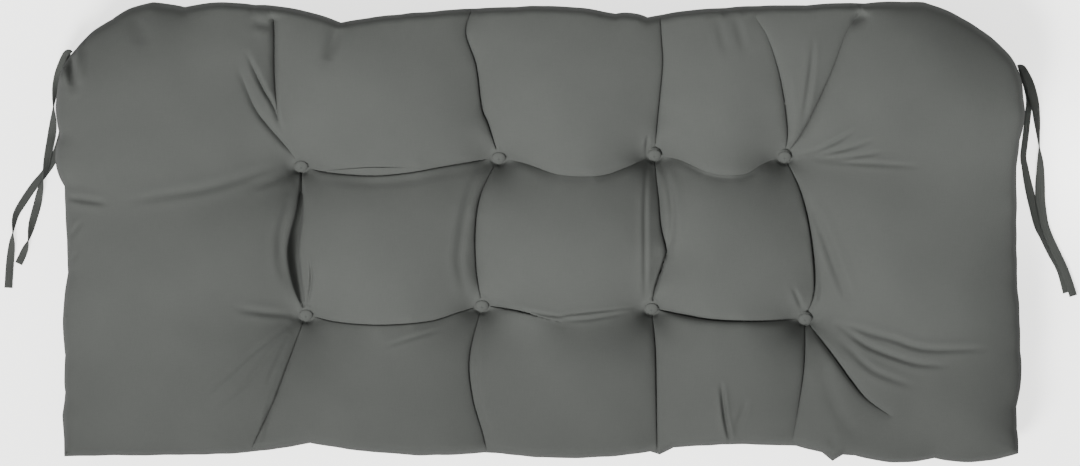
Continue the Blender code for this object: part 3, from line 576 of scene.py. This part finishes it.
def tuft_distance(points):
    """How far each point is from the nearest button."""
    return np.min([np.hypot(points[:, 0] - t.x, points[:, 1] - t.y) for t in TUFTS], axis=0)


def round_rise(distance, reach, fullness=UNDER_FULLNESS):
    """0 at the seam, 1 from the given reach on, round like the side of a filled bag."""
    t = np.clip(distance / reach, 0, 1)
    return (1 - (1 - t) ** 2.2) ** fullness


def smooth_step(value, low, high):
    t = np.clip((value - low) / (high - low), 0, 1)
    return t * t * (3 - 2 * t)


def face_reach(points):
    """How far in from the seam the face still rises: further near the two ends."""
    return (FRONT_REACH + (SIDE_REACH - FRONT_REACH)
            * smooth_step(np.abs(points[:, 0]), FRONT_TO, SIDE_FROM))


def face_rise(distance, reach):
    """The face's share of its full height: steep on the seam at the front and back, then slow."""
    slow = SLOW_SHARE * (SIDE_REACH - reach) / (SIDE_REACH - FRONT_REACH)
    t = np.clip(distance / SLOW_REACH, 0, 1)
    return (1 - slow) * round_rise(distance, reach, FACE_FULLNESS) + slow * (1 - (1 - t) ** 2)


def under_reach(points):
    return np.full(len(points), UNDER_REACH)


def face_heights(points, edge):
    """Height of the buttoned face: a crown, drawn down by tufts and creases."""
    rise = face_rise(edge, face_reach(points))
    radius = np.maximum(tuft_distance(points) - BUTTON_SEAT, 0)
    drawn = (TUFT_DEPTH * np.exp(-radius / TUFT_REACH)) ** MERGE_POWER
    for crease in CREASES:
        far = CREASE_REACHES * max(crease.left, crease.right)
        gap, along, side, _ = nearest_on(points, smooth_route(crease.route, ROUTE_STEP), far)
        beside = np.where(np.isfinite(gap), gap, far) * side
        if not crease.fold:
            gap = np.hypot(gap, TROUGH_ROUND) - TROUGH_ROUND
        depth = sum(np.interp(along, [0, middle, 1], [crease.start, crease.middle, crease.end])
                    for middle in MIDDLES) / 2
        lower = (crease.step * smooth_step(-beside, STEP_FROM, STEP_TO)
                 * np.sin(math.pi * along) ** 0.6)
        reach = (crease.left * (1 + side) + crease.right * (1 - side)) / 2
        drawn += ((depth + lower) * np.exp(-gap / reach) * np.abs(side)) ** MERGE_POWER
    drawn = drawn ** (1 / MERGE_POWER)
    drawn /= (1 + (drawn / TUFT_DEPTH) ** FLOOR_POWER) ** (1 / FLOOR_POWER)
    height = (SEAM_HEIGHT + (CROWN_HEIGHT - SEAM_HEIGHT) * rise
              - drawn * np.minimum(1, rise * FULL_DRAW))
    for tuft in TUFTS:
        right, up = points[:, 0] - tuft.x, points[:, 1] - tuft.y
        lean = np.where(up > 0, LEAN_BEHIND, LEAN_BEFORE)
        height += up * math.tan(BUTTON_TILT) * np.exp(-(right / LEAN_BEHIND) ** 2 - (up / lean) ** 2)
        height -= HOLLOW * np.exp(-(right / HOLLOW_ACROSS) ** 2
                                  - ((up - HOLLOW_PLACE) / HOLLOW_ALONG) ** 2)
    return height


# Rings round a button where the cloth goes up or down, in mm: the radius and half the width.
Ring = namedtuple("Ring", "radius half")
SHADOW_RING = Ring(8.3, 1.5)
GAP_RING = Ring(7.9, 0.8)
HUG_RING = Ring(8.7, 1.2)
SEAT_INSIDE = 2.2               # mm within the button's rim, where the seat starts to end
SEAT_OUTSIDE = 0.8              # and beyond it, where it has ended
SEAT_SHORT = 1.6                # mm that the seat is shorter in front


def ring_share(radius, ring):
    """1 on the ring, and less the further off."""
    return np.exp(-((radius - ring.radius) / ring.half) ** 2)


def button_seats(points, height):
    """The face with a tilted hollow under each button, which holds it at the bottom of its tuft."""
    for tuft in TUFTS:
        right, up = points[:, 0] - tuft.x, points[:, 1] - tuft.y
        radius = np.maximum(np.hypot(right, up), 0.01)
        seat = CROWN_HEIGHT - TUFT_DEPTH + up * math.tan(BUTTON_TILT)
        # In front the cloth drops away under the button's rim.
        before = np.clip(-up / radius, 0, 1)
        reach = radius + SEAT_SHORT * before
        blend = smooth_step(reach, BUTTON_WIDTH / 2 - SEAT_INSIDE, BUTTON_WIDTH / 2 + SEAT_OUTSIDE)
        height = seat * (1 - blend) + height * blend
        height -= RIM_SHADOW * ring_share(radius, SHADOW_RING) * np.sqrt(before)
        if tuft.gap:
            upper_right = np.clip((right + up) / radius / 1.42, 0, 1)
            height -= tuft.gap * ring_share(radius, GAP_RING) * np.sqrt(upper_right)
        else:
            height += RIM_HUG * ring_share(radius, HUG_RING) * np.clip(up / radius, 0, 1)
    return height


def under_heights(points, edge):
    """Height of the underside: flat where it rests, drawn up a little at each tuft."""
    pull = np.clip(1 - tuft_distance(points) / UNDER_DIMPLE_REACH, 0, 1)
    dimple = UNDER_DIMPLE * pull ** 2 * (3 - 2 * pull)
    return SEAM_HEIGHT * (1 - round_rise(edge, UNDER_REACH)) + dimple


def spread(layers):
    """The points of each layer in turn, without those too near one that is kept already."""
    cell = max(gap for _, gap in layers)
    kept = []
    cells = {}
    for points, gap in layers:
        for x, y in points:
            column, row = int(x // cell), int(y // cell)
            near = False
            for i in (column - 1, column, column + 1):
                for j in (row - 1, row, row + 1):
                    for there in cells.get((i, j), ()):
                        if (there[0] - x) ** 2 + (there[1] - y) ** 2 < gap * gap:
                            near = True
                            break
            if not near:
                kept.append((x, y))
                cells.setdefault((column, row), []).append((x, y))
    return np.array(kept)


def across(line):
    """Unit steps square to a run of points, to its left."""
    step = np.gradient(line, axis=0)
    square = np.column_stack([-step[:, 1], step[:, 0]])
    return square / np.linalg.norm(square, axis=1)[:, None]


def even_points(outline, spacing):
    """Rows of points, each shifted by half a step, that fill the seam."""
    low, high = outline.min(axis=0), outline.max(axis=0)
    rows = []
    for row, y in enumerate(np.arange(low[1], high[1], spacing * math.sqrt(3) / 2)):
        xs = np.arange(low[0] + spacing / 2 * (row % 2), high[0], spacing)
        rows.append(np.column_stack([xs, np.full(len(xs), y)]))
    return np.vstack(rows)


FLAT_STEPS = 24                 # in which the way up the cloth is measured
NEAR_SEAM = 0.8                 # mm within which the seam's own points are enough


def panels(outline, face_layers, under_layers):
    """Both panels over the same seam: points, their flat places on the cloth, and triangles.
    The first points are the seam's, the next ones the face's, the last ones the underside's."""
    closed = np.vstack([outline, outline[:1]])
    places = [np.column_stack([outline, np.full(len(outline), SEAM_HEIGHT)])]
    flats = [outline]
    faces = []
    count = len(outline)
    edges = []
    for layers, heights, reaches, share, rise, turned in (
            (face_layers, face_heights, face_reach, face_rise, CROWN_HEIGHT - SEAM_HEIGHT, False),
            (under_layers, under_heights, under_reach, round_rise, SEAM_HEIGHT, True)):
        points = spread(layers)
        points = points[inside_seam(points, outline)]
        edge, _, _, foot = nearest_on(points, closed)
        keep = edge > NEAR_SEAM
        points, edge, foot = points[keep], edge[keep], foot[keep]
        ring = [Vector(place) for place in np.vstack([outline, points])]
        result = delaunay_2d_cdt(ring, [], [list(range(len(outline)))], 1, 1e-7)
        assert len(result[0]) == len(ring)
        places.append(np.column_stack([points, heights(points, edge)]))
        # The cloth is longer than it looks from above, so its flat place is further out.
        reach = reaches(points)
        stretch = np.maximum(reach - edge, 0) / FLAT_STEPS
        extra = np.zeros(len(points))
        for step in range(FLAT_STEPS):
            here = edge + stretch * step
            climb = rise * (share(here + stretch, reach) - share(here, reach))
            extra += np.hypot(climb, stretch) - stretch
        out = (foot - points) / np.maximum(edge, 1e-6)[:, None]
        flats.append(points + out * extra[:, None])
        shift = count - len(outline)
        for triangle in result[2]:
            corners = [index if index < len(outline) else index + shift for index in triangle]
            faces.append(corners[::-1] if turned else corners)
        count += len(points)
        edges.append(edge)
    return np.vstack(places), np.vstack(flats), faces, edges


def offset_rows(outline, offsets):
    """Rings of points inside the seam, each with the least gap between its points."""
    inward = -across(np.vstack([outline[-1:], outline, outline[:1]]))[1:-1]
    return [(outline + inward * offset, gap) for offset, gap in offsets]


# Blender's cloth, swollen by pressure, smooths the puffs between the lines that hold them.
TRIAL_STEP = 9.0
TRIAL_RINGS = [(4, 4), (10, 6), (18, 7.5)]      # mm in from the seam, and the room between points
TRIAL_LINE_ROOM = 6.0
TRIAL_ROOM = 7.0
TRIAL_START = 0.98              # of its height, so that the pressure has something to fill
HOLD_WIDTH = 1.5                # mm from a fold within which the threads hold the cloth
HOLD_ROUND_BUTTON = 3.0
PRESSURE = 4.0
SWELL_FRAMES = 20
SWELL_LIMIT = 9.0               # mm
SWELL_SHARE = 0.6               # of the trial's swell that the real, firmer filling shows

coarse = seam_outline(TRIAL_STEP)
coarse_lines = [smooth_route(crease.route, TRIAL_STEP) for crease in CREASES if crease.fold]
places, flats, faces, edges = panels(
    coarse, [(line, TRIAL_LINE_ROOM) for line in coarse_lines] + offset_rows(coarse, TRIAL_RINGS)
    + [(even_points(coarse, TRIAL_STEP), TRIAL_ROOM)],
    offset_rows(coarse, TRIAL_RINGS) + [(even_points(coarse, 2 * TRIAL_STEP), 2 * TRIAL_ROOM)])
first, last = len(coarse), len(coarse) + len(edges[0])
swell_from = places[first:last, :2]
swell = np.zeros(last - first)
places[first:last, 2] = SEAM_HEIGHT + (places[first:last, 2] - SEAM_HEIGHT) * TRIAL_START
hold = np.ones(len(places))
hold[first:last] = 0
for line in coarse_lines:
    gap = nearest_on(swell_from, line, 2 * HOLD_WIDTH)[0]
    hold[first:last][gap < HOLD_WIDTH] = 1
hold[first:last][tuft_distance(swell_from) < BUTTON_SEAT + HOLD_ROUND_BUTTON] = 1
trial_mesh = bpy.data.meshes.new("trial")
trial_mesh.from_pydata(places * MM, [], faces)
trial = new_object("trial", trial_mesh)
held = trial.vertex_groups.new(name="held")
held.add([int(i) for i in np.flatnonzero(hold)], 1.0, "REPLACE")
cloth = trial.modifiers.new("swell", "CLOTH")
cloth.settings.quality = 6
cloth.settings.mass = 0.3
cloth.settings.tension_stiffness = 1
cloth.settings.compression_stiffness = 1
cloth.settings.shear_stiffness = 0.5
cloth.settings.bending_stiffness = 0.1
cloth.settings.vertex_group_mass = "held"
cloth.settings.use_pressure = True
cloth.settings.uniform_pressure_force = PRESSURE
cloth.settings.effector_weights.gravity = 0
cloth.collision_settings.use_collision = False
for frame_number in range(1, SWELL_FRAMES + 1):
    bpy.context.scene.frame_set(frame_number)
settled = trial.evaluated_get(bpy.context.evaluated_depsgraph_get()).to_mesh()
moved = np.zeros(len(places) * 3)
settled.vertices.foreach_get("co", moved)
moved = moved.reshape(-1, 3)[first:last] / MM
swell = np.clip(moved[:, 2] - face_heights(swell_from, edges[0]), -SWELL_LIMIT, SWELL_LIMIT)
swell *= SWELL_SHARE
bpy.context.scene.frame_set(1)
bpy.data.objects.remove(trial)
bpy.data.meshes.remove(trial_mesh)

FINE = 3.4                      # mm between points on open cloth,
FINE_ROOM = 2.5                 # with at least this much room to those along the folds
UNDER_FINE = 9.0                # and the same on the underside
UNDER_ROOM = 7.0
LINE_STEP = 2.5
LINE_ROOM = 1.4
SEAM_STEP = 2.5
# Rows of points along the seam: how far in, and the least room between points.
FACE_RINGS = [(1.2, 1.6), (2.6, 1.8), (4.6, 2.2), (7.5, 2.6), (11, 2.8)]
UNDER_RINGS = [(1.2, 1.6), (2.6, 1.8), (4.6, 2.4), (8, 3.5), (14, 6)]
# Rows of points beside each fold: at this share of the gap's half width, this much beyond it, and
# the room between points.  The last two lie inside a gap that stands open.
FOLD_ROWS = [(1, 0.12, 0.28), (1, 0.8, 0.6), (1, 2.0, 1.1), (1, 3.8, 1.6), (1, 6.5, 2.2),
             (0.5, 0, 1.2), (0.93, 0, 0.3)]
WRINKLE_ROWS = (0, 0.7, -0.7, 1.4, -1.4, 2.1, -2.1, 3, -3)      # in widths of the wrinkle
WRINKLE_ROOM = 0.55             # also in widths, but no more than 2.3 mm
MOST_ROOM = 2.3
# Rings of points round each button: the radius and how many.
BUTTON_RINGS = [(3, 10), (5.3, 24), (6.5, 30), (7.4, 34), (8.4, 36), (9.8, 38), (12, 40)]
BUTTON_ROOM = 0.8
BUTTON_CLEAR = 0.6              # mm round the seat where no fold's points go
OPEN_FOLD = 2.0                 # half-width from which the inside of a fold shows, mm
LEAST_GAP = 0.2                 # mm, half the width of a fold that is shut
ENDS_OPEN = 0.1                 # of a gap's width that is left at its ends
RIPPLE = 0.7                    # how far the seam wanders, and over what length, mm
RIPPLE_LENGTH = 20.0

outline = seam_outline(SEAM_STEP)
turns = np.arange(len(outline)) * math.tau / len(outline)
trips = SEAM_STEP * len(outline) / math.tau / RIPPLE_LENGTH
ripple = [noise.noise(Vector((math.cos(t) * trips, math.sin(t) * trips, 9.1))) for t in turns]
outward = across(np.vstack([outline[-1:], outline, outline[:1]]))[1:-1]
outline = outline + outward * np.array(ripple)[:, None] * RIPPLE
fold_layers = [(smooth_route(crease.route, LINE_STEP), LINE_ROOM)
               for crease in CREASES if crease.fold]


def gap_width(crease, along):
    """Half the width of a crease's dark gap at each share of its route."""
    swing = math.log(0.5) / math.log(crease.widest)
    open_part = np.sin(math.pi * np.clip(along, 0, 1) ** swing)
    dying = np.clip((1 - along) / crease.fade, 0, 1) if crease.fade else 1.0
    return crease.gap * (ENDS_OPEN + (1 - ENDS_OPEN) * open_part) * dying


for share, beyond, room in FOLD_ROWS:
    for crease in CREASES:
        if crease.fold and (share == 1 or crease.gap > OPEN_FOLD):
            line = smooth_route(crease.route, LINE_STEP)
            wide = np.maximum(gap_width(crease, np.linspace(0, 1, len(line))), LEAST_GAP)[:, None]
            wide = wide * share + beyond
            fold_layers += [(line + across(line) * wide, room), (line - across(line) * wide, room)]
for wrinkle in WRINKLES:
    line = smooth_route(wrinkle.route, LINE_STEP)
    room = min(MOST_ROOM, wrinkle.width * WRINKLE_ROOM)
    for times in WRINKLE_ROWS:
        fold_layers.append((line + across(line) * wrinkle.width * times, room))
button_rings = []
for tuft in TUFTS:
    for radius, count in BUTTON_RINGS:
        turn = np.arange(count) * math.tau / count
        ring = np.column_stack([tuft.x + radius * np.cos(turn), tuft.y + radius * np.sin(turn)])
        button_rings.append((ring, BUTTON_ROOM))
fold_layers = [(line[tuft_distance(line) > BUTTON_SEAT + BUTTON_CLEAR], room)
               for line, room in fold_layers]
places, flats, faces, edges = panels(
    outline, fold_layers + button_rings + offset_rows(outline, FACE_RINGS)
    + [(even_points(outline, FINE), FINE_ROOM)],
    offset_rows(outline, UNDER_RINGS) + [(even_points(outline, UNDER_FINE), UNDER_ROOM)])
first, last = len(outline), len(outline) + len(edges[0])
face_xy, face_z, edge = places[first:last, :2].copy(), places[first:last, 2].copy(), edges[0]

# Carry the swell over to the fine panel, then even the puffs out between the folds.
EVENING_ROUNDS = 60
NEIGHBOURS = 10
HELD_BY_FOLD = (4, 26)          # mm from a fold or button: held up to the first, free from the second
HELD_BY_SEAM = (8, 30)          # and the same from the seam
tree = KDTree(len(swell_from))
for index, (x, y) in enumerate(swell_from):
    tree.insert((x, y, 0), index)
tree.balance()
for index, (x, y) in enumerate(face_xy):
    near = [(math.exp(-(distance / TRIAL_STEP) ** 2), there)
            for _, there, distance in tree.find_n((x, y, 0), NEIGHBOURS)]
    total = sum(weight for weight, _ in near)
    face_z[index] += sum(weight * swell[there] for weight, there in near) / total
from_fold = tuft_distance(face_xy) - BUTTON_SEAT
for crease in CREASES:
    if crease.fold:
        line = smooth_route(crease.route, ROUTE_STEP)
        from_fold = np.minimum(from_fold, nearest_on(face_xy, line, 30)[0])
free = np.zeros(last)
free[first:] = smooth_step(from_fold, *HELD_BY_FOLD) * smooth_step(edge, *HELD_BY_SEAM)
triangles = np.array([triangle for triangle in faces if max(triangle) < last])
spots, level = places[:last, :2], places[:last, 2].copy()
level[first:] = face_z
joins = []
for k in range(3):
    tip, one, other = (triangles[:, (k + step) % 3] for step in range(3))
    u, v = spots[one] - spots[tip], spots[other] - spots[tip]
    pull = (u * v).sum(axis=1) / np.maximum(np.abs(u[:, 0] * v[:, 1] - u[:, 1] * v[:, 0]), 1e-6)
    joins.append((one, other, np.clip(pull, 0.01, 20)))
one, other, pull = (np.concatenate(parts) for parts in zip(*joins))
weight = np.bincount(one, pull, last) + np.bincount(other, pull, last)
for _ in range(EVENING_ROUNDS):
    total = np.bincount(one, pull * level[other], last) + np.bincount(other, pull * level[one], last)
    level += (total / np.maximum(weight, 1e-9) - level) * free
face_z = level[first:]

# Slow unevenness of the filling under the cloth, none at the seam.
FILL_LUMPS = [(85.0, 1.3), (34.0, 0.45)]      # size and height of the lumps
FILL_FROM_SEAM = 40             # mm
calm = smooth_step(edge, 0, FILL_FROM_SEAM)
for size, lump in FILL_LUMPS:
    waves = np.array([noise.noise(Vector((x / size, y / size, size))) for x, y in face_xy])
    face_z += lump * waves * calm

# The folded rims of the creases, with a dark gap between them.
GAP_DEPTH = 8.0                 # mm, from a half-width of 0.6 mm on,
FULL_GAP = 0.6
GAP_DEEPER = 3.0                # and for each mm that the gap is open
ROLL_LEAST = 0.3                # of the roll that shows where the gap is shut
RIM_NEAR = 16.0                 # mm beside a crease that its rims reach at most
RIM_START = 0.4                 # of a rim's size at the start of its route,
RIM_FULL_FROM = 0.09            # and the share of the route from which it is full
RIM_FROM_BUTTON = 6.5           # mm from a button's middle where rims start, and where they are
RIM_FULL = (9, 20)              # full, for creases without and with a step
WALL_POWER = 0.1                # the smaller, the steeper a gap's walls
POCKET_SLANT = 0.2              # of an open fold's depth that it gains to its right
POCKET_START = 1.2              # of its depth at the button it starts from,
POCKET_LOSS = 1.02              # and how much of that is gone at the other end
dropped = np.zeros(len(face_xy))
radius = tuft_distance(face_xy)
for crease in CREASES:
    if not crease.fold:
        continue
    gap, along, side, _ = nearest_on(face_xy, smooth_route(crease.route, LINE_STEP), RIM_NEAR)
    full = RIM_FULL[bool(crease.step)]
    fit = smooth_step(radius, RIM_FROM_BUTTON, full) * smooth_step(edge, 0, 10)
    fit = fit * np.clip(RIM_START + (1 - RIM_START) * along / RIM_FULL_FROM, 0, 1)
    if crease.fade:
        fit = fit * np.clip((1 - along) / crease.fade, 0, 1) ** 0.7
    half = np.maximum(gap_width(crease, along), LEAST_GAP)
    rim = np.clip((gap - half) / crease.fold, 0, 1)
    roll = crease.fold * (1 - np.sqrt(1 - (1 - rim) ** 2))
    inside = np.clip(1 - gap / half, 0, 1)
    open_share = np.clip(gap_width(crease, along) / max(crease.gap, 0.1), 0, 1)
    shown = ROLL_LEAST + (1 - ROLL_LEAST) * open_share
    depth = GAP_DEPTH * min(1, crease.gap / FULL_GAP) + GAP_DEEPER * crease.gap
    # An open fold is a pocket, deepest on its right and near the button it starts from.
    slot = inside ** WALL_POWER
    if crease.gap > OPEN_FOLD:
        wide = smooth_step(half, 0.8, OPEN_FOLD)
        pocket = 1 - POCKET_SLANT + POCKET_SLANT * (1 - side * gap / half) / 2
        slot = slot * (1 - wide) + pocket * wide
        depth = depth * (POCKET_START - POCKET_LOSS * along)
    drop = np.where(gap < half, crease.fold + depth * slot, roll)
    dropped = np.maximum(dropped, drop * fit * shown)
face_z -= dropped

# Where one puff of a row hangs over the next, the lower one starts with a low rolled rim.
RIM_RISE = 1.3
LOW_RIM = Ring(3.2, 2.2)        # mm below the crease, and half its width
LOW_DIP = Ring(8.5, 3.5)        # and the dip that follows it,
DIP_SHARE = 0.7                 # this much as deep
LOW_NEAR = 22.0                 # mm that the two reach at most
for crease in CREASES:
    if crease.fold and crease.step and crease.gap:
        gap, along, side, _ = nearest_on(face_xy, smooth_route(crease.route, LINE_STEP), LOW_NEAR)
        lower = np.where(np.isfinite(gap), gap, 99) * -side
        rim = ring_share(lower, LOW_RIM) - DIP_SHARE * ring_share(lower, LOW_DIP)
        face_z += RIM_RISE * rim * np.sin(math.pi * np.clip(along, 0, 1)) ** 0.7

# Small wrinkles: a soft groove between two low ridges.  Wide ones are dimples with hardly a ridge.
DIMPLE_WIDTH = 4.4
RIDGE_SHARE = 0.4               # of the groove's depth that the ridges stand up
DIMPLE_RIDGE_SHARE = 0.1
RIDGE = Ring(2.1, 1.1)          # in widths of the wrinkle
for wrinkle in WRINKLES:
    gap, along, _, _ = nearest_on(face_xy, smooth_route(wrinkle.route, LINE_STEP), wrinkle.width * 5)
    fit = np.sin(math.pi * np.clip(along, 0.02, 0.98)) ** 0.7
    groove = np.exp(-(gap / wrinkle.width) ** 2)
    ridges = ring_share(gap / wrinkle.width, RIDGE)
    share = RIDGE_SHARE if wrinkle.width < DIMPLE_WIDTH else DIMPLE_RIDGE_SHARE
    face_z += np.where(np.isfinite(gap), wrinkle.depth * fit * (share * ridges - groove), 0)

face_z = button_seats(face_xy, face_z)
places[first:last, 2] = face_z

# The flat lip of the seam and the little puckers that its stitches draw into both panels.
PUCKER = 1.28                   # mm
PUCKER_LENGTH = 11.0            # along the seam, and as far in from it
LIP = 2.6                       # mm from the seam, where the two panels lie flat on each other
LIP_THICKNESS = 0.4             # mm, of each panel there
ring_length = SEAM_STEP * len(outline)
edge_gap, edge_along, _, _ = nearest_on(places[:, :2], np.vstack([outline, outline[:1]]))
lip = smooth_step(edge_gap, 0.2, LIP)
turn = edge_along * math.tau
round_trip = ring_length / math.tau / PUCKER_LENGTH
pucker = np.array([noise.noise(Vector((math.cos(t) * round_trip, math.sin(t) * round_trip, 3.7)))
                   for t in turn])
fading = np.exp(-edge_gap / PUCKER_LENGTH) * smooth_step(edge_gap, 0.5, 5)
from_seam = places[:, 2] - SEAM_HEIGHT
above = np.sign(from_seam)
places[:, 2] = SEAM_HEIGHT + from_seam * lip + above * np.minimum(edge_gap, 1) * LIP_THICKNESS
places[:, 2] += PUCKER * pucker * fading * above
places[:, 2] = np.maximum(places[:, 2], 0)

PAINTED_FRONT_SHADE = 0.72               # of the cloth's colour is left at the front edge, under the painted shade
cover_mesh = bpy.data.meshes.new("cover")
cover_mesh.from_pydata(places * MM, [], faces)
layer = cover_mesh.uv_layers.new(name="cloth")
corner_verts = np.zeros(len(cover_mesh.loops), dtype=np.int32)
cover_mesh.loops.foreach_get("vertex_index", corner_verts)
layer.data.foreach_set("uv", flats.astype(np.float32)[corner_verts].ravel())
cover_mesh.shade_smooth()
cover = new_object("filled_cover", cover_mesh)
cover_cloth = woven_cloth("woven polyester of the cover", "#3B3D3B", "#535552", PAINTED_FRONT_SHADE)
cover_mesh.materials.append(cover_cloth)
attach(cover, "root")
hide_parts("cushion")


# ---- The covered buttons ---------------------------------------------------------------------
# A 15 mm mould in a round of the cover's cloth, gathered behind it, so small pleats run over its
# rim.  A twine through the filling holds each one at the bottom of its tuft.

BUTTON_RISE = 3.4               # mm
BUTTON_TIP = 0.3                # how much fuller its lower half is
BUTTON_LIFT = 0.4               # mm between the button and its seat
BUTTON_SMALLER = 0.2            # mm that its rim stays inside the nominal width
PLEATS = 17
PLEAT_DEPTH = 0.22
PLEAT_WANDER = 2.5
UNEVEN = 0.25                   # mm, how uneven the cloth lies over the mould
BUTTON_SIDES = 48
# Across and up over the dome, round the rim and in underneath, as shares of half the width and of
# the rise.
BUTTON_PROFILE = [(0.14, 1.0), (0.3, 0.98), (0.45, 0.93), (0.6, 0.85), (0.74, 0.73), (0.85, 0.59),
                  (0.93, 0.45), (0.985, 0.28), (1.0, 0.14), (0.97, 0.05), (0.88, 0.0), (0.74, 0.0)]
button_tilt = Matrix.Rotation(BUTTON_TILT, 3, "X")


def button_flat(row, step):
    """A ring's point on the round of cloth before it is drawn over the mould, 1 mm for each ring."""
    turn = step * math.tau / BUTTON_SIDES
    return row * math.cos(turn), row * math.sin(turn)


for number, tuft in enumerate(TUFTS):
    bm = bmesh.new()
    uv = bm.loops.layers.uv.new("cloth")
    rings = []
    for out, up in BUTTON_PROFILE:
        ring = []
        for k in range(BUTTON_SIDES):
            turn = k * math.tau / BUTTON_SIDES
            wander = PLEAT_WANDER * noise.noise(Vector((turn * 1.5, number, 0)))
            pleat = math.sin(turn * PLEATS + wander)
            reach = (BUTTON_WIDTH / 2 - BUTTON_SMALLER) * out + PLEAT_DEPTH * pleat * out ** 5
            bulge = noise.noise(Vector((out * 3, turn, number * 2.3)))
            lift = BUTTON_RISE * up + UNEVEN * bulge * (1 - out)
            lift *= 1 - BUTTON_TIP * out * math.sin(turn)
            place = button_tilt @ Vector((reach * math.cos(turn), reach * math.sin(turn),
                                          lift + BUTTON_LIFT))
            place += Vector((tuft.x, tuft.y, CROWN_HEIGHT - TUFT_DEPTH))
            ring.append(bm.verts.new(place * MM))
        rings.append(ring)
    skin(bm, uv, rings, button_flat)
    for ring in (rings[0], rings[-1]):
        middle = bm.verts.new(sum((corner.co for corner in ring), Vector()) / len(ring))
        for k in range(BUTTON_SIDES):
            bm.faces.new((ring[k], ring[(k + 1) % BUTTON_SIDES], middle))
    button = covered(bm, "covered_" + tuft.name, cover_cloth)
    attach(button, "root")
    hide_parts(tuft.name)
